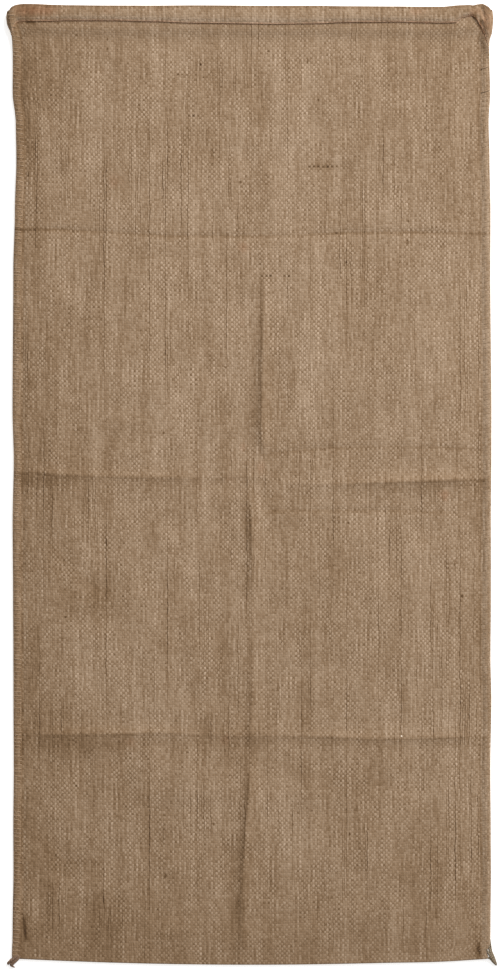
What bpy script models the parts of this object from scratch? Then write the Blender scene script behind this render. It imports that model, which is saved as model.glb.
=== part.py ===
"""A jute sack, empty and laid flat on its back with the mouth towards +Y.

The cloth is one length of hessian, folded across at the bottom and overcast along both sides. Its mouth
is turned to the outside in a hem that goes all the way round. The cloth is one surface, rolled up from a
grid whose columns go round the sack and whose rows go from the bottom fold up to the mouth lip and down
again in the hem. Solidify gives it its thickness.

Row frame: +X across, +Y from the bottom fold to the mouth, +Z up from the surface that the sack lies on.
The origin is at the middle of the whole outline, on that surface. Units are metres.
"""

from collections import namedtuple
from math import cos, exp, hypot, radians, sin

import bmesh
import bpy
from mathutils import Vector

MM = 0.001

# Driving dimensions of the sack: half its nominal width, its bottom fold and its mouth along Y, and how
# far the fold's ends ride up.
HALF_WIDTH = 250 * MM
BOTTOM = -500.7 * MM
MOUTH = 501.0 * MM
BOTTOM_SAG = 6.5 * MM

# The cloth, and the air between its layers at the edges, in the flat, and at the least and the most.
CLOTH = 1.0 * MM
EDGE_GAP = 0.5 * MM
FLAT_GAP = 1.3 * MM
LEAST_GAP = 0.3 * MM
MOST_GAP = 4.4 * MM
EDGE_TURN = (CLOTH + EDGE_GAP) / 2

# The upper layer rises over this run from the bottom fold. Its swells and folds start this far in from
# the side seams and this far below the mouth. The grid's rows leave the curve of the bottom fold over
# this run.
FOLD_RUN = 40 * MM
RELIEF_INSET = 9 * MM
RELIEF_BELOW = 60 * MM
STRAIGHT_RUN = 100 * MM

# The hem: how far its layer stands off the one it is folded from, its puff, its depth underneath and the
# run over which that meets the depth at the sides, the stretch of sack below the mouth that follows its
# shape, and where the lower layer steps up over it. The lip drops this far to each side seam. The bottom
# corners are this round in plan.
HEM_GAP = 0.8 * MM
HEM_STEP = CLOTH + HEM_GAP
HEM_PUFF = 0.7 * MM
HEM_DEPTH = 17 * MM
HEM_EDGE_RUN = 25 * MM
HEM_ZONE = 50 * MM
STEP_CLEAR = 4 * MM
STEP_RUN = 12 * MM
CORNER_DROP = 9.5 * MM
CORNER_RUN = 15 * MM
FOLD_CORNER = 2.4 * MM

# The side seams, by distance in from the edge: the overcast ridge, the valley along it, and the flat
# cloth.
Seam = namedtuple("Seam", "inset gap")
SEAM = (
    Seam(0 * MM, EDGE_GAP),
    Seam(4 * MM, 1.5 * MM),
    Seam(9 * MM, 0.35 * MM),
    Seam(16 * MM, 0.9 * MM),
    Seam(40 * MM, FLAT_GAP),
)

# How far the cloth's left and right edges stand from the middle line, by distance along them below the
# mouth's lip.
Side = namedtuple("Side", "below left right")
SIDES = (
    Side(0 * MM, 254.2 * MM, 249.7 * MM),
    Side(6 * MM, 254.2 * MM, 249.7 * MM),
    Side(16 * MM, 250.8 * MM, 249.2 * MM),
    Side(28 * MM, 249.6 * MM, 248.2 * MM),
    Side(90 * MM, 249.3 * MM, 248.5 * MM),
    Side(121 * MM, 246.4 * MM, 247.0 * MM),
    Side(160 * MM, 245.5 * MM, 247.8 * MM),
    Side(215 * MM, 247.0 * MM, 248.8 * MM),
    Side(277 * MM, 249.0 * MM, 248.6 * MM),
    Side(423 * MM, 249.4 * MM, 250.2 * MM),
    Side(475 * MM, 248.1 * MM, 249.8 * MM),
    Side(538 * MM, 249.5 * MM, 249.4 * MM),
    Side(621 * MM, 248.8 * MM, 249.5 * MM),
    Side(726 * MM, 248.1 * MM, 249.8 * MM),
    Side(799 * MM, 248.0 * MM, 248.9 * MM),
    Side(903 * MM, 248.1 * MM, 249.6 * MM),
    Side(966 * MM, 249.7 * MM, 249.8 * MM),
    Side(1002 * MM, 250.2 * MM, 250.6 * MM),
)

# The lift of the mouth's lip and the depth of the hem on top, by distance across from the middle line.
Lip = namedtuple("Lip", "across lift depth")
LIP = (
    Lip(-250 * MM, 1.9 * MM, 21 * MM),
    Lip(-225 * MM, 1.7 * MM, 17 * MM),
    Lip(-100 * MM, 0.0 * MM, 15.8 * MM),
    Lip(20 * MM, -0.1 * MM, 18.8 * MM),
    Lip(120 * MM, -0.8 * MM, 16.8 * MM),
    Lip(200 * MM, -1.0 * MM, 16.8 * MM),
    Lip(217 * MM, 0.2 * MM, 17.4 * MM),
    Lip(224 * MM, 0.4 * MM, 9.5 * MM),
    Lip(231 * MM, 0.6 * MM, 9.5 * MM),
    Lip(240 * MM, 1.8 * MM, 22 * MM),
    Lip(250 * MM, 1.8 * MM, 23 * MM),
)

# Folds pressed into the upper layer while the sack lay folded up, in millimetres: each runs from its start
# over its bend to its end, and stands up as a ridge, or is pressed down as a groove where its rise is
# negative.
Fold = namedtuple("Fold", "name start bend end half_width rise")
FOLDS = (
    Fold("upper cross fold", (-247, 269), (-20, 261), (247, 264), 5, -1.0),
    Fold("middle cross fold, left", (-247, 7), (-150, 4), (-40, 5), 7, 1.0),
    Fold("middle cross fold, right", (70, 0), (160, -1), (247, 0), 8, 1.5),
    Fold("lower cross fold, left", (-247, -266), (-120, -268), (-10, -270), 10, 1.0),
    Fold("lower cross fold, right", (-10, -270), (120, -266), (247, -266), 7, 1.1),
    Fold("long fold, upper", (12, 225), (11, 120), (7, 34), 8, 1.5),
    Fold("long fold, middle", (-1, 5), (-2, -30), (-2, -70), 7, 1.2),
    Fold("long fold, lower", (-5, -215), (-8, -330), (-14, -490), 8, 1.5),
    Fold("corner hollow", (-232, -360), (-190, -400), (-150, -405), 16, -1.2),
)

# Broad swells and hollows of the upper layer, in millimetres.
Swell = namedtuple("Swell", "x y radius_x radius_y height")
SWELLS = (
    Swell(150, 380, 80, 90, 1.2),
    Swell(-110, 350, 60, 90, 0.8),
    Swell(60, 170, 50, 110, 1.5),
    Swell(180, 110, 70, 80, 1.3),
    Swell(-120, 130, 80, 80, 0.9),
    Swell(-200, -60, 45, 90, 0.9),
    Swell(110, -120, 100, 90, 1.1),
    Swell(-100, -170, 80, 70, 1.0),
    Swell(-70, -310, 60, 30, 1.3),
    Swell(130, -380, 90, 90, 1.2),
    Swell(-200, -450, 60, 50, -0.8),
)

# The grid, in millimetres and degrees. Its columns lie this far across, and turn round the sides by these
# angles.
ACROSS = (-247.5, -244.5, -241, -234, -205, -150, -95, -45, -22, -10, -2, 6, 14, 26, 50, 95, 150, 205, 216,
          224, 231, 240, 244.5, 247.5)
TURNS = (0, 45, 90)
# Its rows lie this far up from the bottom fold, then below the lip, then round the lip, then down the
# hem.
UP_BODY = (5, 25, 70, 120, 170, 212, 226, 234, 242, 256, 300, 350, 400, 450, 486, 498, 505, 512, 524, 570,
           630, 690, 745, 758, 765, 772, 785, 835, 885, 925)
BELOW_LIP = (50, 36, 24, 10)
ROUND_LIP = (0, 45, 90, 135, 180)
DOWN_HEM = (0.2, 0.55, 0.85, 1.0)

# The sewing twine, and how its loose ends lie off the bottom corners, in millimetres.
TWINE_RADIUS = 1.25 * MM
TWINE_TAPER = 0.45
LEFT_END = ((-248.8, -495.85, 1.7), (-251.7, -497.3, 1.8), (-253.9, -500.0, 1.7), (-252.6, -502.7, 1.6),
            (-248.9, -503.2, 1.5))
RIGHT_END = ((249.6, -495.65, 1.7), (251.7, -497.1, 1.8), (253.3, -498.8, 1.7), (254.7, -500.2, 1.6),
             (256.0, -501.2, 1.5))
TWINE_STEPS = 3

Column = namedtuple("Column", "side across turn upper")
Row = namedtuple("Row", "zone at")


def clear_scene():
    for thing in list(bpy.data.objects):
        bpy.data.objects.remove(thing, do_unlink=True)


def smooth(share):
    """An S from 0 to 1, flat outside."""
    share = min(max(share, 0.0), 1.0)
    return share * share * (3 - 2 * share)


def look_up(table, key, column, at):
    """A table's column at a place: eased from each row to the next, and held past the first and the last."""
    before = table[0]
    for row in table:
        if getattr(row, key) >= at:
            break
        before = row
    span = getattr(row, key) - getattr(before, key)
    share = smooth((at - getattr(before, key)) / span) if span else 0.0
    return getattr(before, column) * (1 - share) + getattr(row, column) * share


def distance_to_run(x, y, start, end):
    """How far a place lies from a straight run."""
    dx, dy = end[0] - start[0], end[1] - start[1]
    along = ((x - start[0]) * dx + (y - start[1]) * dy) / (dx * dx + dy * dy)
    along = min(max(along, 0.0), 1.0)
    return hypot(x - start[0] - along * dx, y - start[1] - along * dy)


def fold_rise(fold, x, y):
    """How far a fold stands up from the upper layer, in millimetres."""
    away = min(distance_to_run(x, y, fold.start, fold.bend), distance_to_run(x, y, fold.bend, fold.end))
    return fold.rise * exp(-((away / fold.half_width) ** 2))


def swell_rise(swell, x, y):
    """How far a swell lifts the upper layer, in millimetres."""
    across, along = (x - swell.x) / swell.radius_x, (y - swell.y) / swell.radius_y
    return swell.height * exp(-(across**2) - along**2)


def relief(x, y):
    """The upper layer's swells and folds, in metres."""
    x, y = x / MM, y / MM
    swells = sum(swell_rise(swell, x, y) for swell in SWELLS)
    folds = sum(fold_rise(fold, x, y) for fold in FOLDS)
    return (swells + folds) * MM


def bottom_line(across):
    """Y of the bottom fold, whose ends ride up a little."""
    return BOTTOM + BOTTOM_SAG * (across / HALF_WIDTH) ** 2


def corner_share(across):
    """How far along the drop to its side seam the lip is: 0 before it, 1 at the seam."""
    return max(1 - (HALF_WIDTH - abs(across)) / CORNER_RUN, 0.0)


def lip_line(across):
    """Y of the mouth's lip."""
    return MOUTH + look_up(LIP, "across", "lift", across) - CORNER_DROP * corner_share(across) ** 2


def lip_bulge(across):
    """How far the lip rounds over, along Y: half the hem's step, and more where the lip drops to the seam."""
    slope = 2 * CORNER_DROP / CORNER_RUN * corner_share(across)
    return HEM_STEP / 2 * hypot(1.0, slope)


def hem_depth(across, upper):
    """Depth of the hem: as the table says on top, plain underneath, and the same at the side edges."""
    on_top = look_up(LIP, "across", "depth", across)
    at_edge = smooth(1 - (HALF_WIDTH - abs(across)) / HEM_EDGE_RUN)
    return on_top if upper else HEM_DEPTH + (on_top - HEM_DEPTH) * at_edge


def half_width(side, row):
    """The cloth's reach to the left (-1) or the right (1) along a row."""
    below = {"fold": MOUTH - BOTTOM, "body": MOUTH - BOTTOM - row.at, "neck": row.at, "lip": 0.0,
             "hem": HEM_DEPTH * row.at}
    return look_up(SIDES, "below", "left" if side < 0 else "right", below[row.zone])


def lower_layer(across, y):
    """Mid height of the lower layer: on the surface, and stepped up where the hem lies under it."""
    below_hem = lip_line(across) - y - hem_depth(across, False) - STEP_CLEAR
    return CLOTH / 2 + HEM_STEP * (1 - smooth(below_hem / STEP_RUN))


def gap_between(across, x, y):
    """Air between the upper and the lower layer."""
    inset = HALF_WIDTH - abs(across)
    flat = look_up(SEAM, "inset", "gap", inset)
    from_fold = smooth((y - bottom_line(across)) / FOLD_RUN)
    inland = smooth((inset - RELIEF_INSET) / FOLD_RUN) * from_fold * smooth((MOUTH - y) / RELIEF_BELOW)
    gap = EDGE_GAP + (flat - EDGE_GAP) * from_fold + relief(x, y) * inland
    return min(max(gap, LEAST_GAP), MOST_GAP)


def round_corner(x, y, side, reach, fold):
    """A place near a bottom corner, moved so that lines along the two edges meet round an arc."""
    from_side = FOLD_CORNER - (reach - side * x)
    from_fold = FOLD_CORNER - (y - fold)
    if min(from_side, from_fold) <= 0:
        return x, y
    shrink = 1 - max(from_side, from_fold) / hypot(from_side, from_fold)
    return x - side * from_side * shrink, y + from_fold * shrink


def columns_round():
    """The grid's columns, once round: over the top from left to right, and back underneath."""
    left = [Column(-1, -HALF_WIDTH, turn, True) for turn in TURNS]
    right = [Column(1, HALF_WIDTH, turn, True) for turn in reversed(TURNS)]
    flat = [Column(-1 if across < 0 else 1, across * MM, None, True) for across in ACROSS]
    over = left + flat + right
    under = [column._replace(upper=False) for column in reversed(over[1:-1])]
    return over + under + over[:1]


def rows_along():
    """The grid's rows, from the bottom fold up to the lip, round it, and down the hem."""
    rows = [Row("fold", turn) for turn in TURNS]
    rows += [Row("body", up * MM) for up in UP_BODY]
    rows += [Row("neck", below * MM) for below in BELOW_LIP]
    rows += [Row("lip", turn) for turn in ROUND_LIP]
    rows += [Row("hem", share) for share in DOWN_HEM]
    return rows


def row_height(row, column):
    """Where a row crosses a column: its Y, how far outside the sack's wall it runs, and its puff."""
    across = column.across
    lip = lip_line(across)
    if row.zone == "fold":
        return bottom_line(across) + EDGE_TURN * (1 - cos(radians(row.at))), 0.0, 0.0
    if row.zone == "body":
        straight = smooth(row.at / STRAIGHT_RUN)
        return bottom_line(across) * (1 - straight) + BOTTOM * straight + row.at, 0.0, 0.0
    if row.zone == "neck":
        start = MOUTH - HEM_ZONE
        return start + (lip - start) * (1 - row.at / HEM_ZONE), 0.0, 0.0
    if row.zone == "lip":
        return lip + lip_bulge(across) * sin(radians(row.at)), HEM_STEP / 2 * (1 - cos(radians(row.at))), 0.0
    puff = HEM_PUFF * sin(radians(180 * row.at)) if column.upper and column.turn is None else 0.0
    return lip - hem_depth(across, column.upper) * row.at, HEM_STEP, puff


def cloth_point(row, column):
    """Where a row and a column of the cloth's mid surface cross."""
    y, out, puff = row_height(row, column)
    lower = lower_layer(column.across, y)
    reach = half_width(column.side, row)
    fold_turn = row.at if row.zone == "fold" else 90
    up = 1 if column.upper else -1
    if column.turn is not None:
        x = column.side * (reach - EDGE_TURN + (EDGE_TURN + out) * cos(radians(column.turn)))
        round_up = sin(radians(min(column.turn, fold_turn)))
        x, y = round_corner(x, y, column.side, reach, bottom_line(column.across))
        return Vector((x, y, lower + EDGE_TURN + up * (EDGE_TURN + out) * round_up))
    x = column.across * reach / HALF_WIDTH
    if fold_turn < 90:
        return Vector((x, y, lower + EDGE_TURN + up * EDGE_TURN * sin(radians(fold_turn))))
    if column.upper:
        return Vector((x, y, lower + CLOTH + gap_between(column.across, x, y) + out + puff))
    return Vector((x, y, lower - out))


def material(name, color, roughness):
    made = bpy.data.materials.new(name)
    made.use_nodes = True
    shader = made.node_tree.nodes["Principled BSDF"]
    shader.inputs["Base Color"].default_value = (*color, 1.0)
    shader.inputs["Roughness"].default_value = roughness
    shader.inputs["Metallic"].default_value = 0.0
    return made


def place(made, collection, parent, surface):
    collection.objects.link(made)
    made.parent = parent
    made.data.materials.append(surface)
    return made


def sack_cloth(collection, parent, surface):
    """The hessian: a grid rolled into a tube, closed along the bottom fold, thickened to the cloth."""
    columns, rows = columns_round(), rows_along()
    last_column, last_row = len(columns) - 1, len(rows) - 1
    mesh = bpy.data.meshes.new("sack_cloth")
    bm = bmesh.new()
    bmesh.ops.create_grid(bm, x_segments=last_column, y_segments=last_row, size=0.5)
    for vertex in bm.verts:
        column = columns[round((vertex.co.x + 0.5) * last_column)]
        row = rows[round((vertex.co.y + 0.5) * last_row)]
        vertex.co = cloth_point(row, column)
    bmesh.ops.remove_doubles(bm, verts=bm.verts, dist=0.01 * MM)
    bmesh.ops.recalc_face_normals(bm, faces=bm.faces)
    bm.to_mesh(mesh)
    bm.free()
    mesh.shade_smooth()
    cloth = place(bpy.data.objects.new("sack_cloth", mesh), collection, parent, surface)
    thickness = cloth.modifiers.new("cloth thickness", "SOLIDIFY")
    thickness.thickness = CLOTH
    thickness.offset = 0.0
    thickness.use_even_offset = True
    thickness.use_quality_normals = True
    return cloth


def smooth_route(points, steps):
    """Points along a Catmull-Rom curve through the given ones."""
    knots = [Vector(point) * MM for point in points]
    knots = [2 * knots[0] - knots[1]] + knots + [2 * knots[-1] - knots[-2]]
    route = []
    for a, b, c, d in zip(knots, knots[1:], knots[2:], knots[3:]):
        for step in range(steps):
            t = step / steps
            route.append(0.5 * (2 * b + (c - a) * t + (2 * a - 5 * b + 4 * c - d) * t**2
                                + (3 * b - a - 3 * c + d) * t**3))
    return route + [knots[-2]]


def twine_end(name, points, collection, parent, surface):
    """A loose end of the sewing twine, thinner towards its tip."""
    curve = bpy.data.curves.new(name, "CURVE")
    curve.dimensions = "3D"
    curve.bevel_depth = TWINE_RADIUS
    curve.bevel_resolution = 2
    curve.use_fill_caps = True
    route = smooth_route(points, TWINE_STEPS)
    spline = curve.splines.new("POLY")
    spline.points.add(len(route) - 1)
    for number, point in enumerate(route):
        spline.points[number].co = (*point, 1.0)
        spline.points[number].radius = 1.0 - TWINE_TAPER * (number / (len(route) - 1)) ** 2
    return place(bpy.data.objects.new(name, curve), collection, parent, surface)


def main():
    clear_scene()
    collection = bpy.data.collections.new("jute_sack")
    bpy.context.scene.collection.children.link(collection)
    sack = bpy.data.objects.new("jute_sack", None)
    collection.objects.link(sack)
    hessian = material("hessian", (0.33, 0.23, 0.15), 0.9)
    twine = material("jute_twine", (0.24, 0.16, 0.10), 0.9)
    sack_cloth(collection, sack, hessian)
    twine_end("twine_end_left", LEFT_END, collection, sack, twine)
    twine_end("twine_end_right", RIGHT_END, collection, sack, twine)


main()
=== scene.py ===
# %% [markdown]
# # A jute sack, lying empty and flat
#
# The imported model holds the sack's true shape and fixes every size: one length of hessian, folded across
# the bottom, overcast down both sides and hemmed round the mouth. This lesson gives that shape its looks.
# It makes a finer sheet of cloth with the folds that storage pressed into it, the twine that sews it, the
# loose ends at the bottom corners, and the weave of the jute.
#
# Everything is in metres. +X runs across the sack, +Y from the bottom fold to the mouth, and +Z up from
# the floor.

from collections import namedtuple
from math import pi, radians

import bpy
import numpy as np
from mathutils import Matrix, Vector


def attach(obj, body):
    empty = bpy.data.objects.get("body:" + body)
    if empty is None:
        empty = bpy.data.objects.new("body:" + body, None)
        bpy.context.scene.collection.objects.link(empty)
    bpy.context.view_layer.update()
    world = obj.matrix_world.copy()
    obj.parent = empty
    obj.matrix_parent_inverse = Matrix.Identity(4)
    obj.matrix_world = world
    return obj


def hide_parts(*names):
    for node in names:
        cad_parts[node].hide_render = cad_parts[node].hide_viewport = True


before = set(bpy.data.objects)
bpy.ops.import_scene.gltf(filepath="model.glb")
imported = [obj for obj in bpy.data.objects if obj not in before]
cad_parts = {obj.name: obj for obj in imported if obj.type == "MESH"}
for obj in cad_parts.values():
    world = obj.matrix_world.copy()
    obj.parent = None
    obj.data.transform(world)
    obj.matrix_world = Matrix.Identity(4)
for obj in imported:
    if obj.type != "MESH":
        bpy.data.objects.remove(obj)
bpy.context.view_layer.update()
MM = 0.001

# %% [markdown]
# ## The camera
#
# The sack lies on its back, so the camera hangs over it and looks straight down. A long lens high up keeps
# its two sides parallel, as they are on the cloth. A short lens close by would need less room, but it would
# swell the middle. The height follows from the length that has to fill the picture's long side.

# %% Hang the camera
LENS = 100
SENSOR = 36
PICTURE_LENGTH = 1015.7 * MM
PICTURE_MIDDLE = (-0.5 * MM, -0.6 * MM)
CLOTH_TOP = 4 * MM

camera = bpy.data.objects.new("camera", bpy.data.cameras.new("camera"))
bpy.context.scene.collection.objects.link(camera)
camera.data.lens = LENS
camera.data.sensor_width = SENSOR
camera.location = (*PICTURE_MIDDLE, CLOTH_TOP + PICTURE_LENGTH * LENS / SENSOR)
bpy.context.scene.camera = camera
print("the camera hangs", round(camera.location.z, 3), "m up")

# %% [markdown]
# ## One function for every material's nodes
#
# A material is a graph of nodes. Each call below adds one node, sets its options and fills or links its
# inputs, so that a line of code reads like one node in the editor. The operation of a math node follows its
# kind, as in "Math ADD".

# %% Helpers for nodes and colours
def add_node(tree, kind, inputs=(), output=0, **options):
    """Add a node, set its options, fill or link its inputs, and give back one of its outputs."""
    kind, *operation = kind.split()
    node = tree.nodes.new("ShaderNode" + kind)
    if operation:
        node.operation = operation[0]
    for name, value in options.items():
        setattr(node, name, value)
    for name, value in dict(inputs).items() if isinstance(inputs, dict) else enumerate(inputs):
        if isinstance(value, bpy.types.NodeSocket):
            tree.links.new(value, node.inputs[name])
        elif value is not None:
            node.inputs[name].default_value = value
    return node.outputs[output]


def linear(hex_colour):
    """An sRGB hex colour as the linear values that a shader wants."""
    parts = [int(hex_colour[start:start + 2], 16) / 255 for start in (1, 3, 5)]
    return (*[part / 12.92 if part <= 0.04045 else ((part + 0.055) / 1.055) ** 2.4 for part in parts], 1.0)


def new_material(name):
    """A material with an empty graph but for its Principled shader and the output."""
    made = bpy.data.materials.new(name)
    made.use_nodes = True
    return made, made.node_tree, made.node_tree.nodes["Principled BSDF"]


print("mid grey is", round(linear("#808080")[0], 3), "in linear light")


# %% [markdown]
# ## Floor and light
#
# A plain white floor carries the sack. The key light is a large softbox far beyond the mouth and a little
# to the right, so low that it rakes over the cloth: only raking light shows weave, folds and hem. It stands
# far off, because near a lamp the cloth's top end would be much brighter than its bottom. The world fills
# the shadows with even light from all round, as white studio walls do. The floor glows a little, like a
# light table, so that hardly any shadow is left beside the sack.

# %% Lay the floor and set the lights
FLOOR_SIDE = 24
FLOOR_DROP = 0.3 * MM
KEY_SPOT = Vector((3.2, 4.6, 3.1))
KEY_SIDE = 2.4
KEY_POWER = 560
FILL = 0.46
FLOOR_GLOW = 0.55

bpy.ops.object.select_all(action="DESELECT")
bpy.ops.mesh.primitive_plane_add(size=FLOOR_SIDE, location=(0, 0, -FLOOR_DROP))
floor = bpy.context.object
floor.name = "floor"
paint, tree, shader = new_material("matt white floor paint")
shader.inputs["Base Color"].default_value = linear("#F4F4F2")
shader.inputs["Roughness"].default_value = 0.9
shader.inputs["Emission Color"].default_value = linear("#FFFFFF")
shader.inputs["Emission Strength"].default_value = FLOOR_GLOW
floor.data.materials.append(paint)

key = bpy.data.objects.new("key light", bpy.data.lights.new("key light", "AREA"))
bpy.context.scene.collection.objects.link(key)
key.data.size = KEY_SIDE
key.data.energy = KEY_POWER
key.location = KEY_SPOT
key.rotation_euler = (-KEY_SPOT).to_track_quat("-Z", "Y").to_euler()

world = bpy.data.worlds.new("studio")
bpy.context.scene.world = world
world.use_nodes = True
world.node_tree.nodes["Background"].inputs["Color"].default_value = (1.0, 1.0, 1.0, 1.0)
world.node_tree.nodes["Background"].inputs["Strength"].default_value = FILL
bpy.context.scene.view_settings.view_transform = "Standard"
print("the key light is", round(KEY_SPOT.length, 2), "m from the sack")

# %% [markdown]
# ## The sizes of the cloth
#
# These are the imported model's own sizes, since a lesson can't read its source. The cloth is 1 mm thick.
# At the sides its two layers lie half a millimetre apart, and in the flat a little more.

# %% Sizes of the cloth
HALF_WIDTH = 250 * MM
BOTTOM = -500.9 * MM
MOUTH = 501.0 * MM
BOTTOM_SAG = 6.5 * MM
BOTTOM_DIP = 1.0 * MM
CLOTH = 1.0 * MM
EDGE_GAP = 0.5 * MM
EDGE_TURN = (CLOTH + EDGE_GAP) / 2
LEAST_GAP = 0.2 * MM
HEM_STEP = CLOTH + 0.8 * MM
HEM_DEPTH = 17 * MM
HEM_ZONE = 50 * MM
print("the sack is", round(MOUTH - BOTTOM, 3), "m long down its middle")

# %% [markdown]
# No sack is cut quite straight, so short tables say where its edges and its lip run. A value between two
# rows of a table is eased from one to the other. Where something fades away to both sides of a line, such as
# dust or a stain, it follows a soft bell.

# %% Write tables and read them
def table(columns, *rows, plain=""):
    """Rows with named columns, given in millimetres except in the plain columns."""
    Line = namedtuple("Line", columns)
    units = [1 if name in plain.split() else MM for name in Line._fields]
    return [Line(*(value * unit for value, unit in zip(row, units))) for row in rows]


def smooth(share):
    """An S from 0 to 1, flat outside."""
    share = np.clip(share, 0.0, 1.0)
    return share * share * (3 - 2 * share)


def bell(distance, width):
    """1 on a line or in a middle, and near 0 from about twice the width away."""
    return np.exp(-(distance / width) ** 2)


def look_up(rows, key, column, at):
    """A table's column at some places: eased from row to row, and held past the first and the last."""
    keys = np.array([getattr(row, key) for row in rows])
    values = np.array([getattr(row, column) for row in rows])
    after = np.clip(np.searchsorted(keys, at), 1, len(keys) - 1)
    share = smooth((at - keys[after - 1]) / (keys[after] - keys[after - 1]))
    return values[after - 1] + (values[after] - values[after - 1]) * share


print("a quarter of the way along, an eased step has risen by", smooth(0.25))

# %% Where the edges and the lip run
SIDES = table(
    "below left right",
    (-1, 252.6, 248.6), (4, 253.6, 250.4), (7.5, 254.4, 250.8), (12, 254.9, 251.4), (17, 254.4, 251.3),
    (20, 253.8, 250.8), (23, 252.8, 250.6), (26, 251.6, 250.3), (29, 250.7, 249.9), (32.5, 250.2, 248.6),
    (36, 249.7, 247.9), (56, 249.2, 248.4), (90, 249.4, 249.2), (121, 246.1, 247.7), (160, 245.5, 248.6),
    (215, 247.1, 249.6), (277, 248.7, 249.4), (423, 249.5, 250.6), (475, 248.2, 250.5), (538, 249.4, 250.1),
    (621, 248.9, 250.1), (680, 248.6, 249.6), (726, 248.5, 250.5), (799, 248.2, 249.4), (860, 248.7, 249.9),
    (903, 248.5, 250.1), (966, 249.4, 249.6), (978, 249.6, 249.4), (983, 249.9, 248.8), (987, 250.0, 246.0),
    (990, 250.1, 246.2), (994, 250.2, 247.2), (1002, 250.2, 247.6))
LIP = table(
    "across lift depth tuck",
    (-250, 2.4, 23, 1.4), (-240, 0.7, 17, 1.3), (-234, 0.7, 16.7, 1.2), (-226, 0.6, 16.6, 0.8),
    (-205, -0.3, 15.3, 0.8), (-190, -0.7, 14.4, 0.8), (-150, -1.1, 14.0, 0.8), (-100, -1.2, 15.0, 0.8),
    (-60, -0.9, 16.8, 0.8), (20, -1.4, 17.5, 0.8), (65, -1.3, 17.1, 0.8), (100, -1.8, 15.2, 0.8),
    (150, -2.1, 14.5, 0.8), (180, -2.4, 15.0, 0.8), (200, -2.4, 15.3, 0.8), (215, -1.1, 16.0, 0.7),
    (219, -0.7, 11.3, 1.1), (231, -0.3, 9.3, 1.0), (233, -1.0, 11.6, 0.0), (238, 0.4, 20.3, 0.3),
    (243, 2.0, 28.9, 1.0), (250, 3.2, 35.1, 1.4))
SEAM = table("inset gap", (0, 0.5), (3.5, 1.2), (6, 0.9), (9, 0.3), (16, 0.9), (40, 1.3))


def half_width(side, below):
    """From the middle to the cloth's edge, on the left (negative side) or the right, below the mouth."""
    return np.where(side < 0, look_up(SIDES, "below", "left", below), look_up(SIDES, "below", "right", below))


print("the lip is", round(look_up(LIP, "across", "lift", 0.2) / MM, 1), "mm off its line at the right")

# %% [markdown]
# ## The folds that storage left
#
# The sack was kept folded up: in four along its length, and in two across its width. Each fold left a line
# that never pressed flat again. Some stand up as ridges with a steeper far side, others are pressed in as
# grooves. Each is a run of points, with the fold's strength at each point, because a fold fades
# where the cloth beside it lay loose. The long fold is in two runs, because it shifted sideways where the
# middle fold crosses it. Across a groove the height is a rounded hump, 1 / cosh, turned down. A ridge has
# half such a hump on one side, and falls away steeply from its crest on the other. Each fold also gets
# painted shade: a thin dark line along it and a fainter dark band on its far side.
#
# A cloth simulation could crumple the sheet, but it would put the folds wherever they fell.

# %% Tables of folds and swells
Fold = namedtuple("Fold", "name rise left right soil points")


def fold(name, rise, left, right, soil, *points):
    """A fold in millimetres: its rise, the widths to the left and right of its run, and its painted shade."""
    run = table("x y strength", *points, plain="strength")
    return Fold(name, rise * MM, left * MM, right * MM, soil, run)


CROSS_FOLDS = [
    fold("upper", -0.6, 2.0, 1.8, 1.0, (-247, 268, 1.4), (-205, 268, 1.3), (-150, 265, 0.5), (-85, 261, 0.9),
         (-40, 261, 0.6), (0, 261, 0.8), (45, 261.4, 0.4), (95, 264.6, 1.0), (130, 264.8, 0.7),
         (175, 264.8, 1.1), (205, 264.4, 0.6), (247, 263.8, 0.9)),
    fold("middle, left", 1.3, 3.5, 7.5, 0.6, (-247, 13, 1.5), (-225, 13, 1.4), (-200, 11, 0.9),
         (-160, 9.5, 0.6), (-130, 8.8, 0.8), (-85, 8.2, 0.8), (-60, 8.0, 0.4), (0, 8.8, 0.3), (40, 6, 0.0)),
    fold("middle, right", 2.2, 4.0, 8.0, 0.8, (10, 2, 0.0), (60, 1.5, 0.25), (83, 0.4, 0.35), (125, 2.5, 0.6),
         (166, 4.1, 0.8), (198, 5.1, 0.9), (229, 6.2, 1.3), (247, 5.6, 1.3)),
    fold("lower, left", 1.4, 4.0, 8.5, 0.55, (-247, -261, 1.1), (-200, -260.5, 0.9), (-140, -260, 1.0),
         (-95, -258.7, 0.8), (-50, -261, 0.3), (-15, -262, 0.7), (15, -262, 0.3)),
    fold("lower, right", 1.1, 3.5, 6.0, 0.7, (15, -262, 0.4), (60, -262.5, 0.7), (85, -263, 1.0),
         (125, -265, 0.9), (166, -265, 0.7), (208, -263.4, 1.1), (247, -263, 1.1))]
LONG_FOLDS = [
    fold("centre, upper", 1.9, 6.0, 4.5, 1.1, (12, 240, 0.05), (12, 200, 0.35), (11.5, 160, 0.7),
         (10.5, 110, 1.1), (10.2, 60, 1.0), (10.6, 46, 0.9), (12.2, 37, 0.35), (13.4, 31, 0.0)),
    fold("centre, lower", 1.9, 6.0, 4.5, 1.1, (-5, 36, 0.0), (-3.6, 14, 0.2), (-2.2, -10, 0.35),
         (-0.4, -48, 1.0), (0.2, -70, 0.8), (0, -120, 0.15), (0, -190, 0.3), (0, -214, 0.5),
         (-1.5, -256, 0.6), (-2, -276, 0.15), (-2, -298, 0.5), (-2.6, -318, 1.0), (-5.2, -345, 1.1),
         (-7.4, -375, 0.9), (-9.4, -402, 0.7), (-10.2, -430, 0.6), (-9.8, -460, 0.35), (-9.4, -478, 0.45),
         (-9.4, -492, 0.3))]
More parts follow.
